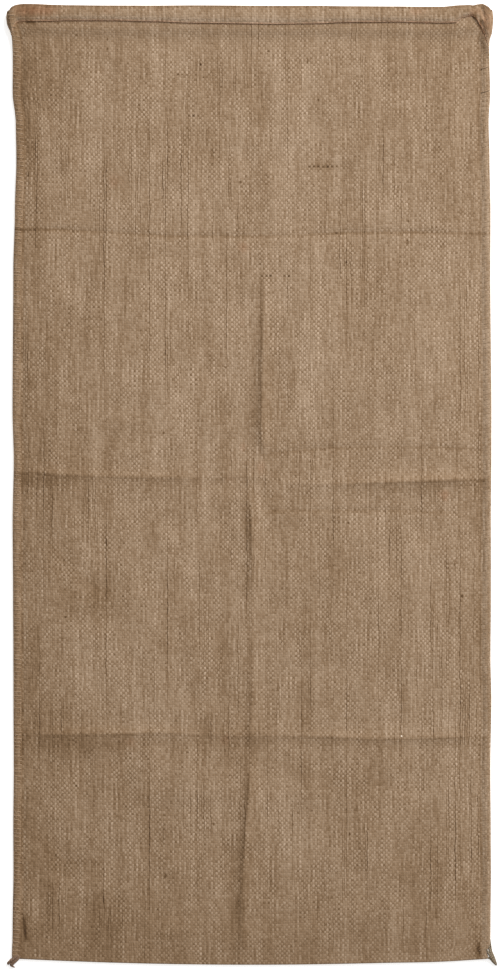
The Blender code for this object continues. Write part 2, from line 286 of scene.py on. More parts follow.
CREASES_ACROSS = [
    fold("above the middle", -0.4, 2.0, 1.8, 0.8, (20, 34, 0.6), (83, 40, 1.0), (150, 41, 0.4),
         (200, 40, 0.8), (240, 38, 0.5)),
    fold("below the middle", -0.4, 2.0, 1.8, 0.6, (15, -25.7, 0.8), (83, -25.7, 0.9), (150, -25.7, 0.9),
         (215, -28, 0.5))]
SMALL_CREASES = [
    fold("short, upper", -0.3, 2.0, 2.0, 0.6, (52, 335, 0.2), (75, 334.5, 1.0), (97, 335, 0.2)),
    fold("short, by the long fold", -0.3, 2.0, 2.0, 0.6, (78, 233, 0.3), (90, 233.5, 1.0), (100, 233, 0.3)),
    fold("slant, left", -0.7, 7, 5, 0.5, (-217, -55, 0.8), (-174, -99, 1.0), (-150, -112, 1.0),
         (-150, -165, 0.6)),
    fold("beside the centre", -0.5, 4, 4, 0.4, (-30, -158, 0.7), (-30, -215, 0.7)),
    fold("thread line", -0.2, 1.3, 1.2, 1.3, (9.8, 224, 0.2), (9.8, 205, 0.7), (9.8, 170, 0.8),
         (9.8, 140, 0.3)),
    fold("corner arc", -0.9, 11, 9, 0.6, (-241, -350, 0.8), (-200, -391, 1.0), (-156, -394, 0.7)),
    fold("corner crease", -0.6, 1.6, 1.4, 3.2, (-238, -450, 0.3), (-236, -462, 1.0), (-235, -474, 0.4))]
FOLDS = CROSS_FOLDS + LONG_FOLDS + CREASES_ACROSS + SMALL_CREASES
SWELLS = table(
    "x y radius_x radius_y amount",
    (150, 380, 80, 90, 1.2), (-110, 350, 60, 90, 0.8), (60, 170, 50, 110, 1.5), (180, 110, 70, 80, 1.3),
    (-120, 130, 80, 80, 0.9), (-200, -60, 45, 90, 0.9), (110, -120, 100, 90, 1.1), (-100, -170, 80, 70, 1.0),
    (-70, -310, 60, 30, 1.3), (130, -380, 90, 90, 1.2), (-200, -450, 60, 50, -0.8))
print(len(FOLDS), "folds and", len(SWELLS), "swells")

# %% Read the folds at any place on the cloth
SHADE_LINE = 1.3 * MM
SHADE_SHIFT = 0.6 * MM
BAND_SHIFT = 0.7
SHADE_SHARES = (0.75, 0.35)


def across_fold(line, x, y):
    """How far some places lie to the left (+) of a fold's run, and its strength beside them."""
    nearest = np.full(x.shape, 1.0)
    signed, strength = nearest.copy(), np.zeros(x.shape)
    for start, end in zip(line.points, line.points[1:]):
        dx, dy = end.x - start.x, end.y - start.y
        length = np.hypot(dx, dy)
        along = np.clip(((x - start.x) * dx + (y - start.y) * dy) / length**2, 0, 1)
        off_x, off_y = x - start.x - along * dx, y - start.y - along * dy
        away = np.hypot(off_x, off_y)
        here = away < nearest
        nearest = np.where(here, away, nearest)
        side = np.where(dx * off_y - dy * off_x >= 0, 1.0, -1.0)
        signed = np.where(here, side * away, signed)
        strength = np.where(here, start.strength + (end.strength - start.strength) * along, strength)
    return signed, strength


def fold_rise(line, x, y):
    """How far a fold lifts the upper layer."""
    signed, strength = across_fold(line, x, y)
    round_side = 1 / np.cosh(signed / np.where(signed > 0, line.left, line.right))
    steep_side = np.exp(np.minimum(signed, 0.0) / line.right)
    return line.rise * strength * np.where((signed < 0) & (line.rise > 0), steep_side, round_side)


def fold_shade(line, x, y):
    """How much painted shade a fold gets, from 0 to about 1: a thin dark line, with a fainter band on its far
    side.
    """
    signed, strength = across_fold(line, x, y)
    thin, band = bell(signed + SHADE_SHIFT, SHADE_LINE), bell(signed + BAND_SHIFT * line.right, line.right)
    return line.soil * strength * (SHADE_SHARES[0] * thin + SHADE_SHARES[1] * band)


def spotted(spots, x, y):
    """The sum at some places of a table's spots, each an amount with two radii."""
    return sum(spot.amount * bell(x - spot.x, spot.radius_x) * bell(y - spot.y, spot.radius_y)
               for spot in spots)


crest = fold_rise(CROSS_FOLDS[1], np.array([-0.2]), np.array([0.011]))
print("at the left the middle fold rises", np.round(crest[0] / MM, 2), "mm")

# %% [markdown]
# ## A sheet that is one length of cloth
#
# The real sack is one piece, so its mesh is one grid too: its columns run across the sack and its rows
# along the whole length of cloth, from the raw edge of the upper hem over the lip, down to the bottom fold,
# back underneath and round the lower lip to the other raw edge. The selvedges stay open edges that meet at
# each side, where the twine will hold them.
#
# Rows and columns stand a few millimetres apart in the flat and close up beside the folds, where the
# surface turns fastest. An even grid as fine as that everywhere would need ten times the faces.

# %% Rows and columns, closer together near the folds
CLOSEST = 1.0 * MM
WIDEST_ON_TOP = 5.6 * MM
WIDEST_BELOW = 11 * MM
WIDENING = 0.24
EDGE_TURNS = (0, 30, 60, 90)
LIP_TURNS = (0, 22, 45, 67, 90, 113, 135, 158, 180)
CORNER_GAP = 13 * MM
EDGE_START = 2 * MM
HEM_SHARES = (0.08, 0.2, 0.35, 0.5, 0.65, 0.8, 0.9, 0.96, 1.0)

Row = namedtuple("Row", "layer zone at")
Column = namedtuple("Column", "side turn across")


def spread(start, end, widest, lines):
    """Places from start to end: CLOSEST apart at the given lines, and further apart away from them."""
    places = [start]
    while places[-1] < end:
        nearest = min([abs(places[-1] - line) for line in lines], default=1.0)
        places.append(places[-1] + min(CLOSEST + WIDENING * nearest, widest))
    if places[-1] - end > end - places[-2]:
        places.pop()
    return places[:-1] + [end]


def layer_rows(layer, widest, lines):
    """The rows of one layer, from the bottom fold up to the lip and down again in the hem."""
    body = spread(EDGE_START, MOUTH - HEM_ZONE - BOTTOM, widest, lines)[:-1]
    neck = [HEM_ZONE - up for up in spread(0, HEM_ZONE, widest, [HEM_ZONE - HEM_DEPTH])[:-1]]
    runs = {"fold": EDGE_TURNS[1:], "body": body, "neck": neck, "lip": LIP_TURNS, "hem": HEM_SHARES}
    return [Row(layer, zone, at) for zone, run in runs.items() for at in run]


fold_lines = [line.points[0].y - BOTTOM for line in CROSS_FOLDS + CREASES_ACROSS] + [CORNER_GAP]
top_rows = layer_rows(1, WIDEST_ON_TOP, fold_lines)
low_rows = layer_rows(-1, WIDEST_BELOW, [CORNER_GAP])
rows = top_rows[::-1] + [Row(1, "fold", 0)] + low_rows

inner = HALF_WIDTH - EDGE_START
seam_lines = [-inner, -inner + 8 * MM, -inner + 12 * MM, 0.0, inner - 8 * MM, inner]
columns = [Column(-1, turn, -HALF_WIDTH) for turn in EDGE_TURNS]
for across in spread(-inner, inner, WIDEST_ON_TOP, seam_lines):
    columns.append(Column(1 if across > 0 else -1, 90, across))
columns += [Column(1, turn, HALF_WIDTH) for turn in EDGE_TURNS[::-1]]
print(len(rows), "rows and", len(columns), "columns")

# %% [markdown]
# The rows and columns lie on a surface that a few functions describe. First come its lines as seen from
# above: the bottom fold rides up towards its corners, and the lip drops to each side seam, where the
# overcasting pulls the mouth in. Then come the heights of its two layers and the air between them.

# %% The lines of the bottom fold, the lip and the hem
CORNER_DROP = 9.5 * MM
CORNER_RUN = 15 * MM
CORNER_POWER = 3.0
DIP_AT = 200 * MM
DIP_WIDTH = 45 * MM
HEM_EDGE_RUN = 25 * MM


def bottom_line(across):
    """Y of the bottom fold, whose ends ride up a little, with a dip on the right."""
    dip = BOTTOM_DIP * bell(across - DIP_AT, DIP_WIDTH)
    return BOTTOM + BOTTOM_SAG * (across / HALF_WIDTH) ** 2 - dip


def corner_share(across):
    """How far along the drop to its side seam the lip is: 0 before it, 1 at the seam."""
    return np.maximum(1 - (HALF_WIDTH - abs(across)) / CORNER_RUN, 0.0)


def lip_line(across):
    """Y of the mouth's lip."""
    return MOUTH + look_up(LIP, "across", "lift", across) - CORNER_DROP * corner_share(across) ** CORNER_POWER


def lip_bulge(across):
    """How far the lip rounds over along Y, which is more where it drops to the seam."""
    slope = CORNER_POWER * CORNER_DROP / CORNER_RUN * corner_share(across) ** (CORNER_POWER - 1)
    return HEM_STEP / 2 * np.hypot(1.0, slope)


def hem_depth(across, layer):
    """Depth of the hem: as the table says on top, and plain underneath but for the side edges."""
    on_top = look_up(LIP, "across", "depth", across)
    at_edge = smooth(1 - (HALF_WIDTH - abs(across)) / HEM_EDGE_RUN)
    return np.where(layer > 0, on_top, HEM_DEPTH + (on_top - HEM_DEPTH) * at_edge)


print("the hem is", round(float(hem_depth(np.array(0.0), 1)) / MM, 1), "mm deep in the middle of the mouth")

# %% The heights of the two layers
FOLD_RUN = 40 * MM
RELIEF_INSET = 9 * MM
RELIEF_BELOW = 60 * MM
STEP_CLEAR = 4 * MM
STEP_RUN = 12 * MM
EDGE_LIFT = 0.5 * MM
EDGE_LIFT_RUN = 12 * MM
RIPPLES = ((0.22 * MM, 45 * MM, 3), (0.10 * MM, 20 * MM, 4))
LEAST_RELIEF = 0.15
LUMP_HEIGHT = 0.4 * MM
ROLL_HEIGHT = 0.7 * MM
ROLL_HEADING = (0.94, 0.34)
ROLL_LENGTH = 6.2 * MM
LUMPS_FROM = 230 * MM
LUMPS_RUN = 8 * MM


def lower_layer(across, y):
    """Mid height of the lower layer: on the floor, raised at the seams and over the hem beneath it."""
    below_hem = lip_line(across) - y - hem_depth(across, -1) - STEP_CLEAR
    at_edge = smooth(1 - (HALF_WIDTH - abs(across)) / EDGE_LIFT_RUN)
    return CLOTH / 2 + HEM_STEP * (1 - smooth(below_hem / STEP_RUN)) + EDGE_LIFT * at_edge


def ripple(x, y, wavelength, seed):
    """An uneven surface of about -1 to 1, made of waves that run in random directions."""
    chance = np.random.default_rng(seed)
    total = np.zeros(x.shape)
    for turn in range(9):
        heading, stretch, phase = chance.uniform(0, pi), chance.uniform(0.7, 1.6), chance.uniform(0, 2 * pi)
        along = x * np.cos(heading) + y * np.sin(heading)
        total += np.sin(2 * pi * along / (wavelength * stretch) + phase)
    return total / 4


def relief(x, y):
    """The upper layer's swells, folds and unevenness."""
    total = spotted(SWELLS, x, y) + sum(fold_rise(line, x, y) for line in FOLDS)
    return total + sum(ripple_height * ripple(x, y, length, seed) for ripple_height, length, seed in RIPPLES)


def corner_lumps(x, y):
    """The lumps where the hem is gathered in at the mouth's corners, in slanting rolls on the right."""
    lumps = LUMP_HEIGHT * ripple(x, y, 10 * MM, 5)
    along = (ROLL_HEADING[0] * x + ROLL_HEADING[1] * y) / ROLL_LENGTH
    rolls = ROLL_HEIGHT * np.sin(2 * pi * along + 1.2 * ripple(x, y, 22 * MM, 6))
    return (lumps + rolls * (x > 0)) * smooth((abs(x) - LUMPS_FROM) / LUMPS_RUN)


def gap_between(across, x, y):
    """Air between the upper and the lower layer."""
    inset = HALF_WIDTH - abs(across)
    flat = look_up(SEAM, "inset", "gap", inset)
    from_fold = smooth((y - bottom_line(across)) / FOLD_RUN)
    inland = smooth((inset - RELIEF_INSET) / FOLD_RUN) * from_fold * smooth((MOUTH - y) / RELIEF_BELOW)
    inland = np.maximum(inland, LEAST_RELIEF * from_fold)
    gap = EDGE_GAP + (flat - EDGE_GAP) * from_fold + relief(x, y) * inland
    return np.maximum(gap, LEAST_GAP)


centre = np.array([0.0])
print("in the middle the layers lie", np.round(gap_between(centre, centre, centre)[0] / MM, 2), "mm apart")

# %% [markdown]
# A row beside a fold has to follow it, or the fold's crest would step from row to row. So the rows and
# columns near a fold are drawn over to its line, and those further off less and less. Then each crossing of
# a row and a column gets its place across and along the sack, and after that its height.

# %% Bend rows and columns to the folds and the corners
GATHER_RUN = 28 * MM
FOLD_CORNER = 2.4 * MM


def gathered(start, line, at, along):
    """Moves rows or columns near a fold so that they follow its wandering line."""
    where = np.array([getattr(point, along) for point in line])
    wander = np.array([getattr(point, "y" if along == "x" else "x") for point in line])
    order = np.argsort(where)
    offset = np.interp(at, where[order], wander[order])
    home = line[0].y if along == "x" else 0.0
    return start + (offset - home) * (1 - smooth(abs(start - home) / GATHER_RUN))


def round_corner(x, y, side, reach, fold_y):
    """Places near a bottom corner, moved so that lines along the two edges meet round an arc."""
    from_side = FOLD_CORNER - (reach - side * x)
    from_fold = FOLD_CORNER - (y - fold_y)
    inside = np.minimum(from_side, from_fold) > 0
    shrink = np.where(inside, 1 - np.maximum(from_side, from_fold) / np.hypot(from_side, from_fold), 0.0)
    return x - side * from_side * shrink, y + from_fold * shrink


follow = {line.name: line.points for line in CROSS_FOLDS + CREASES_ACROSS}
for name in ("middle", "lower"):
    follow[f"{name}, left"] = follow[f"{name}, left"][:-1] + follow.pop(f"{name}, right")[1:]
middle_line = [point for line in LONG_FOLDS for point in line.points if point.strength > 0.1]
print(len(follow), "runs of rows and 1 of columns follow folds")

# %% Place every crossing of a row and a column
STRAIGHT_RUN = 100 * MM
HEM_PUFF = 0.7 * MM
HEM_AT_EDGE = CLOTH + 0.05 * MM
TUCK_START = 0.72
THIN_START = 0.5
HEM_THINS = 0.7


def by_row(values):
    """One value for each row, repeated along it."""
    return np.repeat(np.array(values)[:, None], len(columns), axis=1)


def by_column(values):
    """One value for each column, repeated down it."""
    return np.repeat(np.array(values)[None, :], len(rows), axis=0)


layer, at = by_row([float(row.layer) for row in rows]), by_row([float(row.at) for row in rows])
zone = {name: by_row([row.zone == name for row in rows]) for name in ("fold", "neck", "lip", "hem")}
side, cloth_across = (by_column([getattr(column, name) for column in columns]) for name in ("side", "across"))
turn = np.radians(by_column([column.turn for column in columns]))
edge = abs(cloth_across) == HALF_WIDTH
hem_inland = zone["hem"] & ~edge

lip, bottom = lip_line(cloth_across), bottom_line(cloth_across)
straight = smooth(at / STRAIGHT_RUN)
y = bottom * (1 - straight) + BOTTOM * straight + at
for line in follow.values():
    y = gathered(y, line, cloth_across, "x")
y = np.where(zone["fold"], bottom + EDGE_TURN * (1 - np.cos(np.radians(at))), y)
neck_start = MOUTH - HEM_ZONE
y = np.where(zone["neck"], neck_start + (lip - neck_start) * (1 - at / HEM_ZONE), y)
lip_turn = np.radians(np.where(zone["lip"], at, np.where(zone["hem"], 180, 0)))
y = np.where(zone["lip"], lip + lip_bulge(cloth_across) * np.sin(lip_turn), y)
depth = hem_depth(cloth_across, layer)
y = np.where(zone["hem"], lip - depth * at, y)

below = np.where(zone["fold"], MOUTH - BOTTOM, MOUTH - y)
reach = half_width(side, below)
flat_x = gathered(cloth_across * reach / HALF_WIDTH, middle_line, y, "y")
print("the rows run from", round(float(y.min()), 4), "to", round(float(y.max()), 4), "m along the sack")

# %% Lift every crossing to its height
out = HEM_STEP / 2 * (1 - np.cos(lip_turn))
tuck = look_up(LIP, "across", "tuck", cloth_across) * smooth((at - TUCK_START) / (1 - TUCK_START))
out = out - np.where(hem_inland, tuck, 0.0)
thinned = 1 - HEM_THINS * smooth((at - THIN_START) / (1 - THIN_START))
edge_out = np.where(zone["hem"], HEM_AT_EDGE * thinned, out * HEM_AT_EDGE / HEM_STEP)
puff = np.where(hem_inland & (layer > 0), (HEM_PUFF + corner_lumps(flat_x, y)) * np.sin(pi * at), 0.0)

fold_turn = np.where(zone["fold"], np.radians(at), pi / 2)
lower = lower_layer(cloth_across, y)
top_z = lower + CLOTH + gap_between(cloth_across, flat_x, y) + out + puff
flat_z = np.where(layer > 0, top_z, lower - out)
turned_z = lower + EDGE_TURN + layer * EDGE_TURN * np.sin(fold_turn)
flat_z = np.where(zone["fold"] & (at < 90), turned_z, flat_z)

edge_x = side * (reach - EDGE_TURN + (EDGE_TURN + edge_out) * np.cos(turn))
edge_x, edge_y = round_corner(edge_x, y, side, reach, bottom)
edge_z = lower + EDGE_TURN + layer * (EDGE_TURN + edge_out) * np.sin(np.minimum(turn, fold_turn))

run = np.where(zone["hem"], lip - bottom + pi * HEM_STEP / 2 + depth * at, y - bottom)
run = np.where(zone["lip"], lip - bottom + HEM_STEP / 2 * lip_turn, run)
cloth_run = layer * np.where(zone["fold"], EDGE_TURN * fold_turn, run)
cloth_x, cloth_y, cloth_z = (
    np.where(edge, at_edge, inland) for at_edge, inland in ((edge_x, flat_x), (edge_y, y), (edge_z, flat_z)))

# %% [markdown]
# ### Where the cloth is stained, and where shade is painted on it
#
# A used sack is nowhere the same colour. This one is darker along its left side and towards the bottom, and
# has paler places. Each row below is a soft spot of tone, as a painter would dab it on, and a few small
# dark rows are painted shade. Rust from a nail or a hoop has reddened a few places. A brushed texture could
# do the same, but a table keeps every spot's place and strength in plain sight.

# %% Tables of stains and painted shade
# Most rows are stains. The small dark rows at (-252, 487) on the hem's left rim, (-234, 484) and (-229.5,
# 484) on the hem's raw edge at the left, (232.8, 490.5) and (238.2, 483.4) in the slit at the right corner of
# the mouth, (-165, -269) below the lower fold and (-166, -114) beside the slanting fold are painted shade.
STAINS_AND_SHADE = table(
    "x y radius_x radius_y amount",
    (-255, 330, 38, 210, -0.045), (-255, 20, 30, 200, -0.03), (-255, -330, 38, 170, -0.05),
    (-235, 0, 45, 700, -0.022), (-231, 460, 26, 30, -0.02), (-240, -468, 26, 28, -0.055),
    (-215, 430, 60, 60, -0.03), (190, 455, 50, 35, -0.03), (-158, 425, 60, 40, -0.015),
    (-30, 455, 52, 30, 0.04), (82, 466, 34, 14, 0.035), (-168, 152, 34, 30, -0.02),
    (-160, 290, 55, 36, 0.03), (-108, 310, 48, 30, 0.028), (-28, 228, 34, 36, -0.03),
    (-17, 120, 26, 30, 0.03), (46, 88, 24, 26, 0.03), (46, 183, 22, 26, 0.02), (132, 340, 52, 30, 0.03),
    (142, 225, 24, 60, 0.032), (177, 162, 30, 34, 0.022), (234, 204, 16, 30, 0.02),
    (172, 52, 28, 52, 0.045), (172, 298, 22, 34, 0.032), (77, 32, 22, 20, 0.02), (229, 6, 20, 24, -0.03),
    (-96, 10, 34, 76, 0.03), (236, 372, 14, 34, -0.03), (-222, 4, 26, 8, -0.04),
    (-165, -269, 70, 11, -0.05), (-166, -114, 34, 36, -0.075), (-206, 20, 24, 110, -0.02),
    (-17, -99, 16, 22, -0.015), (234, -99, 16, 40, 0.02), (140, -150, 45, 40, -0.022),
    (-48, -190, 28, 34, -0.022), (203, -250, 36, 26, 0.045), (-176, -250, 26, 60, -0.035),
    (-173, -300, 48, 36, -0.03), (-17, -268, 28, 44, -0.045), (-48, -318, 20, 16, 0.03),
    (62, -365, 28, 22, 0.024), (92, -306, 46, 26, -0.035), (30, -416, 28, 22, -0.028),
    (-200, -391, 34, 36, -0.025), (-80, -490, 230, 85, -0.055), (-14, -385, 40, 26, -0.03),
    (200, -400, 60, 60, -0.02), (140, -350, 28, 80, 0.022), (-150, -450, 80, 60, -0.03),
    (187, -480, 40, 18, -0.015), (238, -487, 2.0, 6, -0.35), (-252, 487, 5, 14, -0.05),
    (-226, 495, 24, 7, -0.04), (-238, 486, 3, 5, -0.03), (-234, 484, 2.4, 1.4, -0.25),
    (-229.5, 484, 2.0, 1.2, -0.22), (246, 484, 9, 18, -0.02), (232.8, 490.5, 1.8, 3.2, -0.25),
    (238.2, 483.4, 2.0, 2.6, -0.15), (243, 473, 4, 7, -0.03), (221, 496, 9, 4, -0.06), plain="amount")
RUST = table(
    "x y radius_x radius_y amount",
    (201, -9, 6, 5, 0.7), (203, -14, 2, 2, 0.8), (-142, 318, 9, 9, 0.5), (-225, 496, 27, 6.5, 0.9),
    (246, 484, 9, 18, 0.5), (232, 495, 7, 4, 0.5), (173, 495, 11, 5, 0.5), (-150, 495, 9, 5, 0.4),
    (-196, 210, 5, 5, 0.3), (98, -395, 6, 6, 0.25), (-8, 249, 7, 7, 0.5), (-8, 171, 6, 6, 0.35),
    (-126, -268, 9, 6, 0.35), (-27, -266, 7, 8, 0.4), (-8, 40, 6, 6, 0.35), (11, 18, 6, 9, 0.45),
    (-24, 6, 6, 5, 0.35), plain="amount")
print(len(STAINS_AND_SHADE), "stains and", len(RUST), "rusty spots")

# %% [markdown]
# ### From a flat grid to the sheet
#
# A grid primitive has the right faces already, in rows of columns, so only its corners have to move. Its
# UV map holds each corner's place on the cloth in metres. The weave follows that map round the lip and the
# fold, which a pattern in object space couldn't do.

# %% Make the sheet
bpy.ops.object.select_all(action="DESELECT")
bpy.ops.mesh.primitive_grid_add(x_subdivisions=len(columns) - 1, y_subdivisions=len(rows) - 1, size=1)
sack_cloth = bpy.context.object
sack_cloth.name = "jute_sack_cloth"
mesh = sack_cloth.data
crossings = np.stack([cloth_x, cloth_y, cloth_z], axis=-1)
mesh.vertices.foreach_set("co", crossings.astype(np.float32).ravel())
print("the grid has", len(mesh.vertices), "corners for", len(rows) * len(columns), "crossings")

# %% Note each corner's place on the cloth
MAP_INSET = 20 * MM
MAP_RUN = 40 * MM

inland = smooth((HALF_WIDTH - abs(cloth_across) - MAP_INSET) / MAP_RUN)
cloth_u = cloth_x * inland + cloth_across * (1 - inland)
corner_uv = np.stack([cloth_u, cloth_run], axis=-1).reshape(-1, 2)
corners = np.empty(len(mesh.loops), dtype=np.int64)
mesh.loops.foreach_get("vertex_index", corners)
mesh.uv_layers[0].name = "cloth"
mesh.uv_layers[0].data.foreach_set("uv", corner_uv[corners].astype(np.float32).ravel())
print("the map spans", np.round(np.ptp(corner_uv, axis=0), 3), "m of cloth")

# %% [markdown]
# What changes slowly over the cloth is worked out here for each corner of the mesh, and stored with it for
# the material to read. Painted shade lies along the folds and in the valley beside each seam, and on the
# right the band between the edge and the seam's valley, which faces away from the key light, is painted
# lighter.
# Stains are lighter or darker tone, and a few of them are painted shade. Along the hem, its lower part and
# the band just above its raw edge are painted lighter where the hem rolls away from the light, the shadow
# under the raw edge is painted lighter along its core, a little darker round it and warm brown, and the
# mouth's rim is painted darker as shade. Doubled and sewn cloth is worn: its yarns are pressed flat. The
# cloth is calm, with less contrast from yarn to yarn, below the hem and at the bottom.

# %% Painted shade and wear
VALLEYS = (8.8 * MM, 10.8 * MM)
VALLEY_WIDTH = 1.2 * MM
SEAM_BAND_LIGHT = 0.25
# How calm it gets, from which height on, and over what distance.
CALM_TOP = (0.26, 440 * MM, 36 * MM)
CALM_BOTTOM = (0.12, 420 * MM, 50 * MM)

doubled = zone["hem"] | zone["lip"]
inset = half_width(cloth_x, MOUTH - cloth_y) - abs(cloth_x)
valley = np.where(cloth_x < 0, *VALLEYS)
uneven = np.clip(0.7 + 0.6 * ripple(cloth_x * 0, cloth_y, 70 * MM, 7), 0.1, 1.5)
# Painted shade: a dark line along each fold with a fainter band on its far side, and a dark line in the
# valley beside each seam.
soil = sum(fold_shade(line, cloth_x, cloth_y) for line in FOLDS) + bell(inset - valley, VALLEY_WIDTH) * uneven
# Painted light: on the right, the band between the edge and the seam's valley faces away from the key light,
# so it is painted lighter.
soil = soil - SEAM_BAND_LIGHT * np.where(cloth_x > 0, smooth((valley - inset) / (2 * MM)), 0.0)
soil = np.where((cloth_run > 0) & ~doubled, np.clip(soil, -0.3, 2.0), 0.0)
worn = doubled | (inset < valley)
calm = [most * smooth((towards * cloth_y - start) / run)
        for towards, (most, start, run) in ((1, CALM_TOP), (-1, CALM_BOTTOM))]
calm = np.where(doubled, 0.0, calm[0]) + calm[1]
print(round(100 * float((soil > 0.3).mean())), "% of the corners are shaded")

# %% Stains, rust, and painted light and shade along the hem
HEM_LOWER_LIGHT = 0.015
SHADOW_LIFT = (0.12, 0.8 * MM)
EDGE_SHADE = (-0.05, 2.18 * MM)
SHADOW_WARMTH = (0.65, 1.5 * MM)
TUCK_LIGHT = 0.075
TUCK_LIGHT_FROM, TUCK_LIGHT_TO, TUCK_LIGHT_FADE = 0.96 * MM, 3.12 * MM, 2.88 * MM
RIM_SHADE = (-0.095, 2 * MM)
UNDERSIDE = -0.01

top_depth = hem_depth(cloth_across, 1)
hem_edge = lip - top_depth
down_hem = smooth((lip - cloth_y) / top_depth / 0.8)
above_edge = smooth((cloth_y - hem_edge) / TUCK_LIGHT_FROM)
above_edge = above_edge * (1 - smooth((cloth_y - hem_edge - TUCK_LIGHT_TO) / TUCK_LIGHT_FADE))
# Painted light and shade along the hem: its lower part and the band just above its raw edge, where the hem
# rolls away from the key light, are painted lighter, and the shadow under the raw edge is painted lighter
# along its core and a little darker round it.
stain = spotted(STAINS_AND_SHADE, cloth_x, cloth_y) + np.where(zone["hem"], HEM_LOWER_LIGHT * down_hem, 0.0)
stain = stain + sum(amount * bell(hem_edge - cloth_y, width) for amount, width in (SHADOW_LIFT, EDGE_SHADE))
# Painted shade: the mouth's rim is painted darker.
stain = stain + TUCK_LIGHT * above_edge + RIM_SHADE[0] * smooth((cloth_y - lip) / RIM_SHADE[1] + 1)
stain = np.where(cloth_run > 0, stain, UNDERSIDE)
# Painted warm brown in the shadow under the hem's raw edge, added to the rust.
rust = spotted(RUST, cloth_x, cloth_y) + SHADOW_WARMTH[0] * bell(hem_edge - cloth_y, SHADOW_WARMTH[1])
rust = np.where(cloth_run > 0, rust, 0.0)
for name, values in (("soil", soil), ("stain", stain), ("rust", rust), ("worn", worn), ("calm", calm)):
    field = mesh.attributes.new(name, "FLOAT", "POINT")
    field.data.foreach_set("value", np.asarray(values, dtype=np.float32).ravel())
print("the tone of the stains runs from", round(float(stain.min()), 2), "to", round(float(stain.max()), 2))

# %% [markdown]
# So far the sheet is a bare surface. Solidify gives it the cloth's thickness, half to each side, and takes
# the map and the stored values along to the inner face. Smooth shading stops only at sharp edges, such as
# the cut edge of the hem.

# %% Give the sheet its thickness
SHARP_EDGE = radians(50)

mesh.update()
thick = sack_cloth.modifiers.new("thickness", "SOLIDIFY")
thick.thickness = CLOTH
thick.offset = 0.0
thick.use_even_offset = True
thick.use_quality_normals = True
bpy.ops.object.modifier_apply(modifier=thick.name)
bpy.ops.object.shade_smooth_by_angle(angle=SHARP_EDGE)
print("the sheet has", len(mesh.polygons), "faces")

# %% [markdown]
# ## Hessian
#
# Hessian is jute yarn in a plain weave: each warp yarn goes over one weft yarn and under the next. Jute is
# spun from coarse, stiff fibre, so the yarns are hairy and uneven. They swell and thin along their length,
# wander from their line and leave small dark openings where they don't touch.
#
# An image texture could show one real scrap of it, but would repeat over a metre of cloth. Here the weave
# is worked out instead. Each point's place on the cloth gives the number of its warp and its weft, and
# every yarn gets its own tone and thickness from noise at its number. The higher of the two yarns shows.

# %% The weave's measures
WARP_PITCH = 2.37 * MM
WEFT_PITCH = 2.53 * MM
WANDER = 4.0 * MM
WANDER_LENGTH = 18 * MM
WARP_WIDTH = 0.47
WEFT_WIDTH = 0.53
WIDTH_VARIES = 0.55
SLUB_LENGTH = 100 * MM
YARN_ROUND = 0.5
WARP_CRIMP = 0.42
WEFT_CRIMP = 0.16
WARP_LEAD = 0.12
DEEPEST = -1.1
MEETING = 0.06
WEAVE_DEPTH = 0.27 * MM
print("a metre of this hessian holds", round(1 / WARP_PITCH), "warps and", round(1 / WEFT_PITCH), "wefts")

# %% Find the warp and the weft at each point
hessian, tree, shader = new_material("woven jute hessian")
place = add_node(tree, "UVMap", uv_map="cloth")
slow = {"Vector": place, "Scale": 1 / WANDER_LENGTH, "Detail": 4.0, "Roughness": 0.65}
drift = add_node(tree, "TexNoise", slow, "Color")
drift = add_node(tree, "VectorMath SUBTRACT", (drift, (0.5, 0.5, 0.5)))
wandered = add_node(tree, "VectorMath MULTIPLY_ADD", (drift, (WANDER, WANDER, 0), place))
counted = add_node(tree, "VectorMath MULTIPLY", (wandered, (1 / WARP_PITCH, 1 / WEFT_PITCH, 0)))
number = add_node(tree, "VectorMath FLOOR", (counted,))
inside = add_node(tree, "VectorMath FRACTION", (counted,))
inside = add_node(tree, "VectorMath SUBTRACT", (inside, (0.5, 0.5, 0)))
print(len(tree.nodes), "nodes count the yarns")

# %% Give every yarn its own tone and its thick and thin places
# Neighbouring yarns read the noise so far apart that their values have nothing to do with each other.
YARN_STEP = 7.31
WEFT_LEVEL = 9.7

yarns = []
for stretch, step, level in (((0, 1, 0), (YARN_STEP, 0, 0), 0.0), ((1, 0, 0), (0, YARN_STEP, 0), WEFT_LEVEL)):
    stretch = [part / SLUB_LENGTH for part in stretch]
    along = add_node(tree, "VectorMath MULTIPLY_ADD", (place, stretch, (0.0, 0.0, level)))
    along = add_node(tree, "VectorMath MULTIPLY_ADD", (number, step, along))
    inputs = {"Vector": along, "Scale": 1.0, "Detail": 4.0, "Roughness": 0.7}
    parts = add_node(tree, "TexNoise", inputs, "Color")
    yarns.append(add_node(tree, "SeparateXYZ", (parts,)).node.outputs)
warp_yarn, weft_yarn = yarns
widths = [add_node(tree, "Math MULTIPLY_ADD", (yarn["X"], WIDTH_VARIES, middle - WIDTH_VARIES / 2))
          for yarn, middle in ((warp_yarn, WARP_WIDTH), (weft_yarn, WEFT_WIDTH))]
width = add_node(tree, "CombineXYZ", (*widths, 1.0))
print("a warp's half width varies by", round(WIDTH_VARIES / 2, 2), "of the pitch either way at most")

